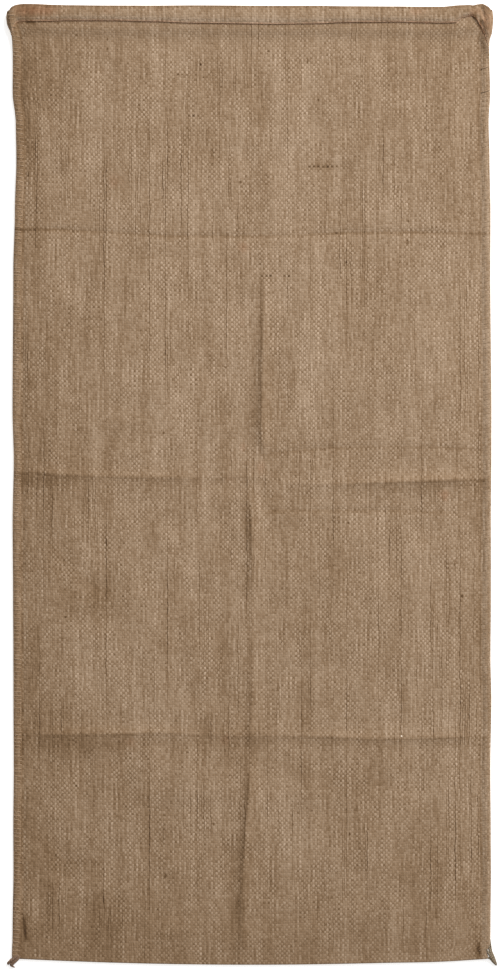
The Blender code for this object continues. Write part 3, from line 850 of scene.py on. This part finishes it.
# %% Let each yarn rise over one and dip under the next
off_yarn = add_node(tree, "VectorMath DIVIDE", (inside, width))
off_yarn = add_node(tree, "VectorMath MULTIPLY", (off_yarn, off_yarn))
body = add_node(tree, "VectorMath SUBTRACT", ((1.0, 1.0, 1.0), off_yarn))
body = add_node(tree, "SeparateXYZ", (body,)).node.outputs
crimp = add_node(tree, "VectorMath MULTIPLY", (inside, (pi, pi, 0)))
crimp = add_node(tree, "VectorMath COSINE", (crimp,))
crimp = add_node(tree, "SeparateXYZ", (crimp,)).node.outputs
numbers = add_node(tree, "SeparateXYZ", (number,)).node.outputs
crossing = add_node(tree, "Math ADD", (numbers["X"], numbers["Y"]))
crossing = add_node(tree, "Math FLOORED_MODULO", (crossing, 2.0))

heights = []
for inside_yarn, reach, wave, lead in (
        (body["X"], WARP_CRIMP, crimp["Y"], WARP_LEAD), (body["Y"], -WEFT_CRIMP, crimp["X"], 0.0)):
    lift = add_node(tree, "Math MULTIPLY_ADD", (crossing, 2 * reach, -reach))
    rounding = add_node(tree, "Math MAXIMUM", (inside_yarn, 0.0))
    rounding = add_node(tree, "Math SQRT", (rounding,))
    outside = add_node(tree, "Math MINIMUM", (inside_yarn, 0.0))
    height = add_node(tree, "Math MULTIPLY_ADD", (rounding, YARN_ROUND, lead - YARN_ROUND))
    height = add_node(tree, "Math ADD", (outside, height))
    heights.append(add_node(tree, "Math MULTIPLY_ADD", (lift, wave, height)))
surface = add_node(tree, "Math MAXIMUM", (heights[0], heights[1]))
surface = add_node(tree, "Math MAXIMUM", (surface, DEEPEST))
lead = add_node(tree, "Math SUBTRACT", (heights[0], heights[1]))
warp_shows = add_node(tree, "MapRange", (lead, -MEETING, MEETING))
print(len(tree.nodes), "nodes weave them")

# %% [markdown]
# ### Knots, lint and dark weft
#
# Some flaws are smaller than the sheet's faces, so no corner can carry them: a knot or a bit of bark in one
# yarn, a pale bit of lint, a dark stretch of weft, and a slack warp with a long gap beside it. Dark weft
# shows as a row of dashes, because a weft comes up only between every other pair of warps. Here the
# material measures how far a point is from each flaw's own place on the cloth, where 1 is the edge of the
# flaw, and keeps the least.

# %% Tables of small flaws
KNOTS = table(
    "x y half_width half_height",
    (-237.2, 325.4, 0.9, 2.6), (-89.9, -408.2, 1.8, 2.4), (220.5, -115.6, 1.4, 2.0),
    (58.5, 443.5, 1.0, 2.6), (163.0, 254.4, 1.3, 2.6), (-11.5, 317.0, 1.5, 1.5), (-151.5, -59.1, 0.6, 4.2),
    (212.1, -82.1, 1.0, 2.1), (102.4, -364.3, 1.0, 2.1), (-39.7, -353.8, 1.5, 1.5), (-92.0, 54.8, 1.4, 1.4),
    (101.4, -39.3, 1.4, 1.4), (70.0, 402.7, 1.0, 1.5), (17.8, 453.9, 1.6, 1.0), (-194.4, -137.5, 1.5, 1.0),
    (-154.7, -434.3, 0.6, 5.0), (164.1, 276.3, 1.0, 1.5), (-53.3, 440.4, 1.2, 1.4),
    (-182.9, 470.7, 1.3, 1.5), (-150.5, 466.5, 0.9, 1.8), (-150.5, 456.6, 1.0, 1.4),
    (99.3, 233.4, 1.1, 1.1), (88.8, 263.8, 1.5, 0.9), (-27.2, 123.7, 1.5, 1.0), (70.0, -324.6, 1.1, 1.1),
    (-182.9, -314.1, 1.4, 1.0), (-201.7, 483.2, 1.2, 1.4))
LINT = table("x y half_width half_height", (156.8, -261.9, 0.9, 0.9))
DARK_WEFTS = table(
    "start end y", (-80, -65, 429.4), (-68, -53, 387.1), (55, 88, 333.8), (6, 23, 219.9), (31, 39, 219.9))
SLACK_WARPS = table(
    "x top low",
    (100, 43, -459), (61, 42, -359), (219, 19, -445), (-153, 447, 79), (99, 408, 61), (-151, 5, -255),
    (-91, 394, -18), (-106, 381, 90), (-106, -270, -473), (52, -157, -359), (-87, -29, -247),
    (132, -85, -242), (-27, 323, 78), (182, 475, 276), (61, 298, 94), (-154, -270, -474), (187, -27, -191),
    (218, 254, 41), (177, 130, -79), (-103, -150, -251), (176, -277, -426), (-8, -269, -420),
    (214, 447, 300), (118, 330, 153))
print(len(KNOTS), "knots,", len(DARK_WEFTS), "stretches of dark weft and", len(SLACK_WARPS), "slack warps")

# %% Place the small flaws
# Where each flaw starts to show and where it is full, with 1 at its edge.
KNOT_EDGE, LINT_EDGE, WEFT_EDGE, WARP_EDGE = (1.3, 0.6), (1.1, 0.7), (1.05, 0.95), (1.0, 0.4)


def nearest(place, ovals):
    """The least distance from a place to some ovals, given as their centres and half sizes."""
    least = 9.0
    for across, along, half_across, half_along in ovals:
        shrink, shift = (1 / half_across, 1 / half_along, 0), (-across / half_across, -along / half_along, 0)
        away = add_node(tree, "VectorMath MULTIPLY_ADD", (place, shrink, shift))
        away = add_node(tree, "VectorMath LENGTH", (away,), "Value")
        least = add_node(tree, "Math MINIMUM", (away, least))
    return least


def up_cloth(x, y):
    """How far up the cloth from the bottom fold a place lies, as the UV map has it."""
    return y - bottom_line(x)


knots, lint = ([(spot.x, up_cloth(spot.x, spot.y), spot.half_width, spot.half_height) for spot in spots]
               for spots in (KNOTS, LINT))
knot = add_node(tree, "MapRange", (nearest(place, knots), *KNOT_EDGE))
lint = add_node(tree, "MapRange", (nearest(place, lint), *LINT_EDGE))

dark_wefts = [((weft.start + weft.end) / 2 / WARP_PITCH, np.floor(up_cloth(weft.start, weft.y) / WEFT_PITCH),
               (weft.end - weft.start) / 2 / WARP_PITCH, 0.5) for weft in DARK_WEFTS]
dark_weft = add_node(tree, "MapRange", (nearest(number, dark_wefts), *WEFT_EDGE))
weft_shows = add_node(tree, "Math SUBTRACT", (1.0, warp_shows))
dark_weft = add_node(tree, "Math MULTIPLY", (dark_weft, weft_shows))
print("the highest knot lies", round(max(spot[1] for spot in knots), 3), "m up the cloth")

# %% [markdown]
# ### The tone of the cloth
#
# The tone adds up from many small causes. The higher a yarn lies, the lighter it is, because little light
# gets down between the yarns. How sharply that shows differs from patch to patch. Each yarn has its own
# shade with fibre streaks along it, each crossing catches the light a little differently, and warps lie in
# pairs of a light and a dark one. Along the warps run streaks and broad bands, and over a hand's breadth
# the whole cloth drifts in tone. Bark left in the jute makes specks.
#
# Each of these grains is noise of a certain size. They are made in one loop from a table. A single fibre is
# about a tenth of a millimetre thick, too fine to show, so the fibre grain is drawn coarser.

# %% Make the grains of the jute
GRAINS = table(
    "name on_yarn across along level detail roughness",
    ("warp fibre", True, 0.5, 5, 0.0, 2.0, 0.5), ("weft fibre", True, 5, 0.5, 0.0, 2.0, 0.5),
    ("streak", True, 1.6, 22, 0.0, 2.0, 0.5), ("speck", False, 1.6, 1.6, 0.0, 1.0, 0.5),
    ("patch", False, 12, 40, 0.0, 3.0, 0.6), ("band", False, 15, 180, 8.6, 3.0, 0.6),
    ("drift", False, 110, 110, 0.0, 4.0, 0.6), plain="name on_yarn level detail roughness")

grains = {}
for grain in GRAINS:
    stretch, start = (1 / grain.across, 1 / grain.along, 0.0), wandered if grain.on_yarn else place
    spot = add_node(tree, "VectorMath MULTIPLY_ADD", (start, stretch, (0.0, 0.0, grain.level)))
    inputs = {"Vector": spot, "Scale": 1.0, "Detail": grain.detail, "Roughness": grain.roughness}
    grains[grain.name] = add_node(tree, "TexNoise", inputs).node.outputs
patch, drift = (
    add_node(tree, "SeparateXYZ", (grains[name]["Color"],)).node.outputs for name in ("patch", "drift"))
worn, soil, stain, calm, rust = (
    add_node(tree, "Attribute", (), "Fac", attribute_name=name)
    for name in ("worn", "soil", "stain", "calm", "rust"))
print(len(GRAINS), "grains, from", GRAINS[0].across / MM, "to", GRAINS[-1].across / MM, "mm wide")

# %% Shade the yarns
# Map Range nodes take a range to read and a range to give.
RAISED = (-0.8, 0.1, -0.8, 0.2)
CHECK = 0.457
CHECK_MIDDLE = 0.7
WORN_FLATTER = -0.16
SHARPNESS = (0.35, 0.65, 0.1, 1.6)
SPECK_SHOWS = (0.68, 0.8)
# Wefts differ less from each other than warps do.
WEFT_SHADES = (0.3, 0.35)

fibre = add_node(tree, "Mix", (warp_shows, None, grains["weft fibre"][0], grains["warp fibre"][0]))
weft_tone = add_node(tree, "Math MULTIPLY_ADD", (weft_yarn["Y"], *WEFT_SHADES))
yarn_tone = add_node(tree, "Mix", (warp_shows, None, weft_tone, warp_yarn["Y"]))
crossing_tone = add_node(tree, "TexWhiteNoise", {"Vector": number}, "Value")
raised = add_node(tree, "MapRange", (surface, *RAISED))
check = add_node(tree, "Math SUBTRACT", (warp_shows, CHECK_MIDDLE))
raised = add_node(tree, "Math MULTIPLY_ADD", (check, CHECK, raised))
sharpness = add_node(tree, "Math MULTIPLY_ADD", (worn, WORN_FLATTER, patch["Y"]))
sharpness = add_node(tree, "MapRange", (sharpness, *SHARPNESS))
weave_tone = add_node(tree, "Math MULTIPLY", (raised, sharpness))
pair = add_node(tree, "Math FLOORED_MODULO", (numbers["X"], 2.0))
pair = add_node(tree, "Math SUBTRACT", (pair, 0.5))
paired = add_node(tree, "Math SUBTRACT", (patch["Z"], 0.5))
paired = add_node(tree, "Math MULTIPLY", (pair, paired))
speck = add_node(tree, "MapRange", (grains["speck"][0], *SPECK_SHOWS))
print(len(tree.nodes), "nodes shade the yarns so far")

# %% [markdown]
# Here and there two warps have slid apart and left a thin dark line: painted shade in the opening between
# them. Its gap is half a warp off the warps' own numbers, and opens where the noise along it is high, or
# where a slack warp is placed. The wefts cross it, so it is a row of beads of different darkness. In worn
# cloth such gaps are pressed shut.

# %% Open the gaps beside slack warps
LINE_LENGTH = 220 * MM
GAP_STEP = 5.3
GAP_LEVEL = 4.4
SLACK = (0.88, 1.04)
BROKEN = (0.7, 0.92, 0.15, 1.0)
LINE_EDGES = (0.06, 0.26, 1.0, 0.0)
DRIFT_SHARE = 0.6
PRESSED_SHUT = -0.7
BEAD_VARIES, BEAD_LEAST = 1.1, 0.4

between = add_node(tree, "VectorMath ADD", (counted, (0.5, 0.5, 0)))
gap_number = add_node(tree, "VectorMath FLOOR", (between,))
gap_along = add_node(tree, "VectorMath MULTIPLY_ADD", (place, (0, 1 / LINE_LENGTH, 0), (0, 0, GAP_LEVEL)))
gap_along = add_node(tree, "VectorMath MULTIPLY_ADD", (gap_number, (GAP_STEP, 0, 0), gap_along))
slack = add_node(tree, "TexNoise", {"Vector": gap_along, "Scale": 1.0, "Detail": 5.0, "Roughness": 0.62})
slack = add_node(tree, "Math MULTIPLY_ADD", (drift["Z"], DRIFT_SHARE, slack))
broken = add_node(tree, "MapRange", (slack, *BROKEN))
slack = add_node(tree, "MapRange", (slack, *SLACK))
slack_warps = [(round(warp.x / WARP_PITCH), up_cloth(warp.x, (warp.top + warp.low) / 2) / WEFT_PITCH,
                0.5, (warp.top - warp.low) / 2 / WEFT_PITCH) for warp in SLACK_WARPS]
placed = add_node(tree, "MapRange", (nearest(gap_number, slack_warps), *WARP_EDGE))
placed = add_node(tree, "Math MULTIPLY", (placed, broken))
slack = add_node(tree, "Math MAXIMUM", (slack, placed))
gap_place = add_node(tree, "VectorMath FRACTION", (between,))
gap_place = add_node(tree, "SeparateXYZ", (gap_place,)).node.outputs["X"]
gap_place = add_node(tree, "Math SUBTRACT", (gap_place, 0.5))
gap_place = add_node(tree, "Math ABSOLUTE", (gap_place,))
gap_line = add_node(tree, "MapRange", (gap_place, *LINE_EDGES))
pressed = add_node(tree, "Math MULTIPLY_ADD", (worn, PRESSED_SHUT, 1.0))
beads = add_node(tree, "TexWhiteNoise", {"Vector": gap_number}, "Value")
beads = add_node(tree, "Math MULTIPLY_ADD", (beads, BEAD_VARIES, BEAD_LEAST))
for share in (slack, pressed, beads):
    gap_line = add_node(tree, "Math MULTIPLY", (gap_line, share))
print("the longest gap is", round(max(warp.top - warp.low for warp in SLACK_WARPS), 2), "m long")

# %% [markdown]
# Now all causes are added up, each with its weight and the value at which it changes nothing. Where the
# cloth is calm, the sum is drawn towards one middle tone. The painted shade and the stains, with the painted
# light and shade along the hem, come last, so they stay as they are. The sum goes through one ramp of
# colours.
# Jute keeps its warm brown in the dark places as well, where multiplying a colour by the shade would turn it
# grey.

# %% Add up the tone of the hessian
WEAVE_CONTRAST = 0.175
MIDDLE_TONE = 0.535
CALM_TONE = 0.49

tone = add_node(tree, "Math MULTIPLY_ADD", (weave_tone, WEAVE_CONTRAST, MIDDLE_TONE))
for part, weight, nothing_at in (
        (yarn_tone, 0.25, 0.5), (crossing_tone, 0.10, 0.5), (fibre, 0.10, 0.5), (drift["X"], 0.16, 0.5),
        (patch["X"], 0.10, 0.5), (gap_line, -0.28, 0.0), (speck, -0.34, 0.0),
        (grains["streak"][0], 0.075, 0.5), (grains["band"][0], 0.18, 0.5), (paired, 0.6, 0.0),
        (knot, -0.21, 0.0), (dark_weft, -0.17, 0.0)):
    centred = add_node(tree, "Math SUBTRACT", (part, nothing_at))
    tone = add_node(tree, "Math MULTIPLY_ADD", (centred, weight, tone))
lively = add_node(tree, "Math SUBTRACT", (1.0, calm))
tone = add_node(tree, "Math SUBTRACT", (tone, CALM_TONE))
tone = add_node(tree, "Math MULTIPLY_ADD", (tone, lively, CALM_TONE))
for field, weight in ((soil, -0.11), (stain, 1.0)):
    tone = add_node(tree, "Math MULTIPLY_ADD", (field, weight, tone))
print("the tone's last node is", tone.node.operation.lower())

# %% Turn the tone into colour and relief
REDDENING = (1.06, 0.82, 0.72)
REDDENING_SHOWS = (0.08, 0.5, 0.0, 0.95)
LINT_COLOUR = "#F4E2CC"
JUTE_COLOURS = ((0.157, "#3B2206"), (0.275, "#563D20"), (0.392, "#72573A"), (0.498, "#8A6F53"),
                (0.608, "#A1886E"), (0.725, "#B79E85"), (0.824, "#C8AF96"))
# Bare plant fibre: hardly any gloss, and the faint sheen of loose hairs.
HAIRY = {"Roughness": 0.88, "Specular IOR Level": 0.3, "Sheen Weight": 0.08, "Sheen Roughness": 0.6}


def jute_ramp(tree, tone):
    """The colours of jute from dark to light, read at a tone from 0 to 1."""
    colour = add_node(tree, "ValToRGB", (tone,))
    ramp = colour.node.color_ramp
    ramp.elements[0].position, ramp.elements[1].position = JUTE_COLOURS[0][0], JUTE_COLOURS[-1][0]
    for position, _ in JUTE_COLOURS[1:-1]:
        ramp.elements.new(position)
    for element, (_, hex_colour) in zip(ramp.elements, JUTE_COLOURS):
        element.color = linear(hex_colour)
    return colour


clean_colour = jute_ramp(tree, tone)
# The reddening is rust, and along the hem's raw edge it is the painted warm brown of the shadow beneath it.
rust = add_node(tree, "Math MULTIPLY", (rust, patch["X"]))
rust = add_node(tree, "MapRange", (rust, *REDDENING_SHOWS))
reddened = add_node(tree, "VectorMath MULTIPLY", (clean_colour, REDDENING))
colour = add_node(tree, "Mix", {0: rust, 6: clean_colour, 7: reddened}, 2, data_type="RGBA")
colour = add_node(tree, "Mix", {0: lint, 6: colour, 7: linear(LINT_COLOUR)}, 2, data_type="RGBA")
tree.links.new(colour, shader.inputs["Base Color"])
bump = add_node(tree, "Bump", {"Height": surface, "Distance": WEAVE_DEPTH, "Strength": 1.0})
tree.links.new(bump, shader.inputs["Normal"])
for name, value in HAIRY.items():
    shader.inputs[name].default_value = value
mesh.materials.clear()
mesh.materials.append(hessian)
print(len(tree.nodes), "nodes make the hessian")

# %% [markdown]
# ## Jute twine
#
# Sack twine is spun from the same fibre as the cloth, two or three plies twisted together. The twist shows
# as slanting grooves, which are also painted a little darker as shade. Its mesh carries a UV map of turns
# round the twine and metres along it, so the grooves run round it like the real ones however it bends. An
# attribute tints each piece, since some twine is dirtier than the rest.

# %% Colour the twine
TWINE_PLIES = 2
TWINE_TWIST = 5.5 * MM
TWINE_TONE = 0.54
GROOVE_SHADE = 0.05
FIBRE_TONE = 0.3
GROOVE_DEPTH = 0.12 * MM
FIBRE_STREAKS = (9.0, 1 / (3 * MM), 0)
MOTTLE = 9 * MM

twine_jute, tree, shader = new_material("spun jute twine")
place = add_node(tree, "UVMap", uv_map="twine")
turns = add_node(tree, "VectorMath MULTIPLY", (place, (TWINE_PLIES, TWINE_PLIES / TWINE_TWIST, 0)))
turns = add_node(tree, "SeparateXYZ", (turns,)).node.outputs
phase = add_node(tree, "Math ADD", (turns["X"], turns["Y"]))
phase = add_node(tree, "Math MULTIPLY", (phase, 2 * pi))
ply = add_node(tree, "Math COSINE", (phase,))
spot = add_node(tree, "TexCoord", (), "Object")
streak = add_node(tree, "VectorMath MULTIPLY", (place, FIBRE_STREAKS))
streak = add_node(tree, "TexNoise", {"Vector": streak, "Scale": 1.0, "Detail": 2.0})
mottle = add_node(tree, "TexNoise", {"Vector": spot, "Scale": 1 / MOTTLE, "Detail": 3.0})
# Painted shade: the grooves between the plies are a little darker.
tone = add_node(tree, "Math MULTIPLY_ADD", (ply, GROOVE_SHADE, TWINE_TONE))
for part in (streak, mottle):
    centred = add_node(tree, "Math SUBTRACT", (part, 0.5))
    tone = add_node(tree, "Math MULTIPLY_ADD", (centred, FIBRE_TONE, tone))
tint = add_node(tree, "Attribute", (), "Vector", attribute_name="tint")
colour = add_node(tree, "VectorMath MULTIPLY", (jute_ramp(tree, tone), tint))
tree.links.new(colour, shader.inputs["Base Color"])
bump = add_node(tree, "Bump", {"Height": ply, "Distance": GROOVE_DEPTH})
tree.links.new(bump, shader.inputs["Normal"])
shader.inputs["Roughness"].default_value = 0.85
print(len(tree.nodes), "nodes make the twine")

# %% [markdown]
# ## Sewing the sides
#
# Each side is overcast: one long twine winds round both selvedges, through the cloth a little way in, over
# the edge and back underneath. The seam is laid here as one path of points, ten for each stitch. The
# points on top are found by dropping a ray on the cloth, so the stitches lie on it whatever its shape. On
# the right the twine has worked loose in two places near the mouth, where a thicker stitch whips further
# round the edge, and a short stretch above them has lost its stitches.

# %% Helpers for laying twine
TWINE_SIDES = 6


def cloth_surface(x, y, from_above=True):
    """Height of the cloth's upper or lower face at a place, or None beside it."""
    start, heading = (0.05, -1) if from_above else (-0.05, 1)
    hit, spot, _, _ = sack_cloth.ray_cast(Vector((x, y, start)), Vector((0, 0, heading)))
    return spot.z if hit else None


def twine_mesh(name, strands, tint=(1.0, 1.0, 1.0)):
    """One mesh of round strands, each a list of centres with their radii, and its UVs: turns and metres."""
    vertices, faces, uvs = [], [], []
    for strand in strands:
        centres = np.array([point[:3] for point in strand])
        steps = np.gradient(centres, axis=0)
        steps /= np.linalg.norm(steps, axis=1)[:, None]
        lengths = np.linalg.norm(np.diff(centres, axis=0), axis=1)
        along = np.concatenate([[0.0], np.cumsum(lengths)])
        across = np.cross(steps[0], (0.13, 0.21, 0.97))
        first = len(vertices)
        for centre, step, point in zip(centres, steps, strand):
            across = across - step * across.dot(step)
            across /= np.linalg.norm(across)
            beside = np.cross(step, across)
            for turn in range(TWINE_SIDES):
                angle = 2 * pi * turn / TWINE_SIDES
                vertices.append(centre + point[3] * (np.cos(angle) * across + np.sin(angle) * beside))
        for ring in range(len(centres) - 1):
            for turn in range(TWINE_SIDES):
                low = first + ring * TWINE_SIDES + turn
                high = first + ring * TWINE_SIDES + (turn + 1) % TWINE_SIDES
                faces.append((low, high, high + TWINE_SIDES, low + TWINE_SIDES))
                start, end = turn / TWINE_SIDES, (turn + 1) / TWINE_SIDES
                before, after = along[ring], along[ring + 1]
                uvs += [(start, before), (end, before), (end, after), (start, after)]
        last = len(vertices) - TWINE_SIDES
        faces.append(tuple(range(first + TWINE_SIDES - 1, first - 1, -1)))
        faces.append(tuple(range(last, last + TWINE_SIDES)))
        uvs += [(0.5, 0.0)] * TWINE_SIDES + [(0.5, along[-1])] * TWINE_SIDES
    made = bpy.data.meshes.new(name)
    made.from_pydata(vertices, [], faces)
    made.uv_layers.new(name="twine").data.foreach_set("uv", np.array(uvs, dtype=np.float32).ravel())
    made.attributes.new("tint", "FLOAT_VECTOR", "POINT").data.foreach_set("vector", tint * len(vertices))
    made.materials.append(twine_jute)
    made.shade_smooth()
    piece = bpy.data.objects.new(name, made)
    bpy.context.scene.collection.objects.link(piece)
    return piece


def side_edge(side, y):
    """X of the cloth's outermost point at a side."""
    return side * half_width(side, np.array(MOUTH - y))


bpy.context.view_layer.update()
print("the cloth's top lies", round(cloth_surface(0.1, 0.1) / MM, 2), "mm up near its middle")

# %% Overcast both sides
OVERCASTS = table(
    "side pitch reach slant radius sunk seed",
    (-1, 4.15, 7.8, 0.2, 0.6, 0.4, 21), (1, 4.9, 8.0, 0.55, 0.5, 0.65, 22), plain="side slant sunk seed")
BARE = (452 * MM, 467 * MM)
SEAM_START = BOTTOM + BOTTOM_SAG + 3 * MM
SEAM_END = MOUTH - 5 * MM
WHIPS = (437.2 * MM, 409.0 * MM)
WHIP_NEAR = 2.5 * MM
WHIP_RADIUS = 0.85 * MM
WHIP_REACH = 1.5 * MM
WHIP_SUNK = 0.1
BELOW_SUNK = 0.9
# The way back under the cloth has this share of the way over it.
WAY_BACK = 0.7
# Heights of the two faces where a point lies just beside the cloth.
TOP_BESIDE, LOW_BESIDE = 2.2 * MM, 0.3 * MM


def stitch_points(reach, radius):
    """One stitch: how far in from the edge, how far along the stitch, and on which face."""
    return ((reach, 0.0, "through"), (reach - 0.8 * MM, 0.06, "over"), (reach * 0.75, 0.25, "over"),
            (reach * 0.5, 0.5, "over"), (reach * 0.25, 0.75, "over"), (0.9 * MM, 0.92, "over"),
            (0.2 * radius, 1.0, "round"), (0.9 * MM, 1.06, "below"), (reach * 0.5, 1.3, "below"),
            (reach - 0.8 * MM, 1.6, "below"))


def overcast_path(seam):
    """The points of one seam's twine, from the bottom corner to the mouth."""
    chance = np.random.default_rng(seam.seed)
    path = []
    y = SEAM_START
    while y < SEAM_END:
        if seam.side > 0 and BARE[0] < y < BARE[1]:
            y = BARE[1]
        whip = seam.side > 0 and min(abs(y - place) for place in WHIPS) < WHIP_NEAR
        pitch = seam.pitch * chance.uniform(0.82, 1.18)
        reach = seam.reach * chance.uniform(0.88, 1.1) + (WHIP_REACH if whip else 0.0)
        radius = (WHIP_RADIUS if whip else seam.radius) * chance.uniform(0.85, 1.15)
        slant = seam.slant + chance.uniform(-0.12, 0.12)
        sunk = WHIP_SUNK if whip else seam.sunk
        edge_at = float(side_edge(seam.side, y))
        for in_from_edge, share, where in stitch_points(reach, radius):
            x = edge_at - seam.side * in_from_edge
            at = y + pitch * (slant * min(share, 1.0) + (1 - slant) * max(share - 1.0, 0.0) / WAY_BACK)
            top, low = cloth_surface(x, at), cloth_surface(x, at, from_above=False)
            top = TOP_BESIDE if top is None else top
            low = LOW_BESIDE if low is None else low
            heights = {"over": top - sunk * radius, "below": low + BELOW_SUNK * radius}
            height = heights.get(where, (top + low) / 2)
            path.append((x, at, height, radius))
        y += pitch
    return path


seams = [twine_mesh(f"overcast_seam_{name}", [overcast_path(seam)])
         for name, seam in zip(("left", "right"), OVERCASTS)]
print("the seams' twine has", sum(len(piece.data.polygons) for piece in seams), "faces")

# %% [markdown]
# ## Sewing the hem
#
# The hem is turned to the outside and held by a running stitch near its raw edge. The stitches have sunk
# into the cloth, so little more than a row of small dents is left of them. The layer underneath has its own.

# %% Run the hem's thread
HEM_STITCH = 7.2 * MM
HEM_THREAD = 0.25 * MM
HEM_SEWN = (-226 * MM, 216 * MM)
HEM_MARGIN = 3.0 * MM
HEM_SUNK = 0.5 * MM


def running_stitch(layer):
    """The points of the hem's thread on the upper or the lower layer."""
    path = []
    for stitch in range(int((HEM_SEWN[1] - HEM_SEWN[0]) / HEM_STITCH)):
        for share, sunk in ((0.0, 1.0), (0.1, 0.3), (0.25, 0.0), (0.5, 0.0), (0.65, 0.3), (0.75, 1.0)):
            x = HEM_SEWN[0] + (stitch + share) * HEM_STITCH
            y = float(lip_line(np.array(x)) - hem_depth(np.array(x), layer) + HEM_MARGIN)
            face = cloth_surface(x, y, from_above=layer > 0)
            path.append((x, y, face - layer * (0.5 * HEM_THREAD + HEM_SUNK * sunk), HEM_THREAD))
    return path


hem_thread = twine_mesh("hem_running_stitch", [running_stitch(1), running_stitch(-1)])
print("the hem's thread has", len(hem_thread.data.polygons), "faces")

# %% [markdown]
# ## The loose ends
#
# At each bottom corner the seam's twine was cut off and has come undone. On the left it curls back in a
# hook whose tip has split in two. On the right its plies spread from the corner and meet in a point.

# %% Fray the two ends
def eased_path(points, count):
    """A smooth path through some points, in millimetres with a radius, as count points in metres."""
    given = np.array(points) * MM
    at = np.linspace(0, len(given) - 1, count)
    path = []
    for place in at:
        start = min(int(place), len(given) - 2)
        share = place - start
        before, after = given[max(start - 1, 0)], given[min(start + 2, len(given) - 1)]
        here, there = given[start], given[start + 1]
        bend = 2 * here + (there - before) * share + (2 * before - 5 * here + 4 * there - after) * share**2
        path.append(tuple((bend + (3 * here - before - 3 * there + after) * share**3) / 2))
    return path


# Each ply is a run of points with a radius: x, y, z and radius in millimetres.
LEFT_PLIES = (
    ((-243.6, -490.4, 2.2, 0.8), (-247.2, -493.8, 2.9, 1.3), (-251.0, -496.6, 2.7, 1.45),
     (-253.8, -499.0, 2.1, 1.35), (-254.4, -501.2, 1.6, 0.6)),
    ((-242.8, -491.6, 1.6, 0.8), (-246.4, -495.2, 1.7, 1.4), (-250.0, -498.6, 1.6, 1.5),
     (-251.8, -501.2, 1.5, 1.35), (-249.6, -503.2, 1.3, 1.0), (-246.8, -504.2, 1.0, 0.4)),
    ((-241.4, -492.4, 2.0, 0.8), (-244.6, -495.6, 2.4, 1.3), (-248.2, -499.0, 2.3, 1.4),
     (-250.6, -501.2, 2.0, 1.3), (-249.4, -502.6, 1.7, 0.5)),
    ((-245.6, -491.0, 1.3, 0.6), (-249.2, -494.2, 1.4, 1.1), (-252.8, -497.6, 1.4, 1.3),
     (-255.0, -499.8, 1.2, 1.0), (-254.2, -501.6, 1.1, 0.4)))
DIRTY = (0.66, 0.61, 0.66)
BLEACHED = (0.71, 0.82, 0.88)
RIGHT_PLIES = (
    ((244.6, -483.0, 2.6, 0.3), (246.8, -487.0, 2.9, 1.0), (249.4, -491.6, 2.6, 1.3),
     (252.4, -496.6, 2.1, 1.2), (256.6, -501.8, 1.4, 0.4)),
    ((247.6, -478.0, 2.4, 0.3), (248.8, -484.0, 2.6, 1.0), (250.4, -490.0, 2.4, 1.3),
     (253.0, -495.4, 2.0, 1.2), (256.6, -501.0, 1.5, 0.4)),
    ((249.4, -472.0, 1.8, 0.3), (250.0, -480.0, 1.9, 0.8), (251.0, -487.0, 1.8, 1.0),
     (253.8, -494.0, 1.6, 1.1), (256.6, -500.4, 1.3, 0.4)),
    ((243.0, -494.6, 2.0, 0.3), (246.0, -494.0, 2.1, 0.9), (249.6, -494.6, 2.0, 1.2),
     (252.6, -498.0, 1.6, 1.2), (256.2, -502.4, 1.2, 0.4)),
    ((246.0, -480.0, 1.0, 0.5), (249.6, -488.0, 1.0, 0.8), (251.4, -494.4, 1.0, 0.9),
     (255.8, -501.2, 1.0, 0.4)))
left_end = twine_mesh("frayed_end_left", [eased_path(ply, 16) for ply in LEFT_PLIES], DIRTY)
right_end = twine_mesh("frayed_end_right", [eased_path(ply, 14) for ply in RIGHT_PLIES], BLEACHED)
print("the ends have", len(left_end.data.polygons) + len(right_end.data.polygons), "faces")

# %% [markdown]
# ## Hand the pieces over
#
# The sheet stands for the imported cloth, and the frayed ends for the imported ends. All of it is one body,
# because nothing on a sack turns or slides.

for piece in (sack_cloth, hem_thread, left_end, right_end, *seams):
    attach(piece, "root")
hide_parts("sack_cloth")
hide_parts("twine_end_left")
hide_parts("twine_end_right")
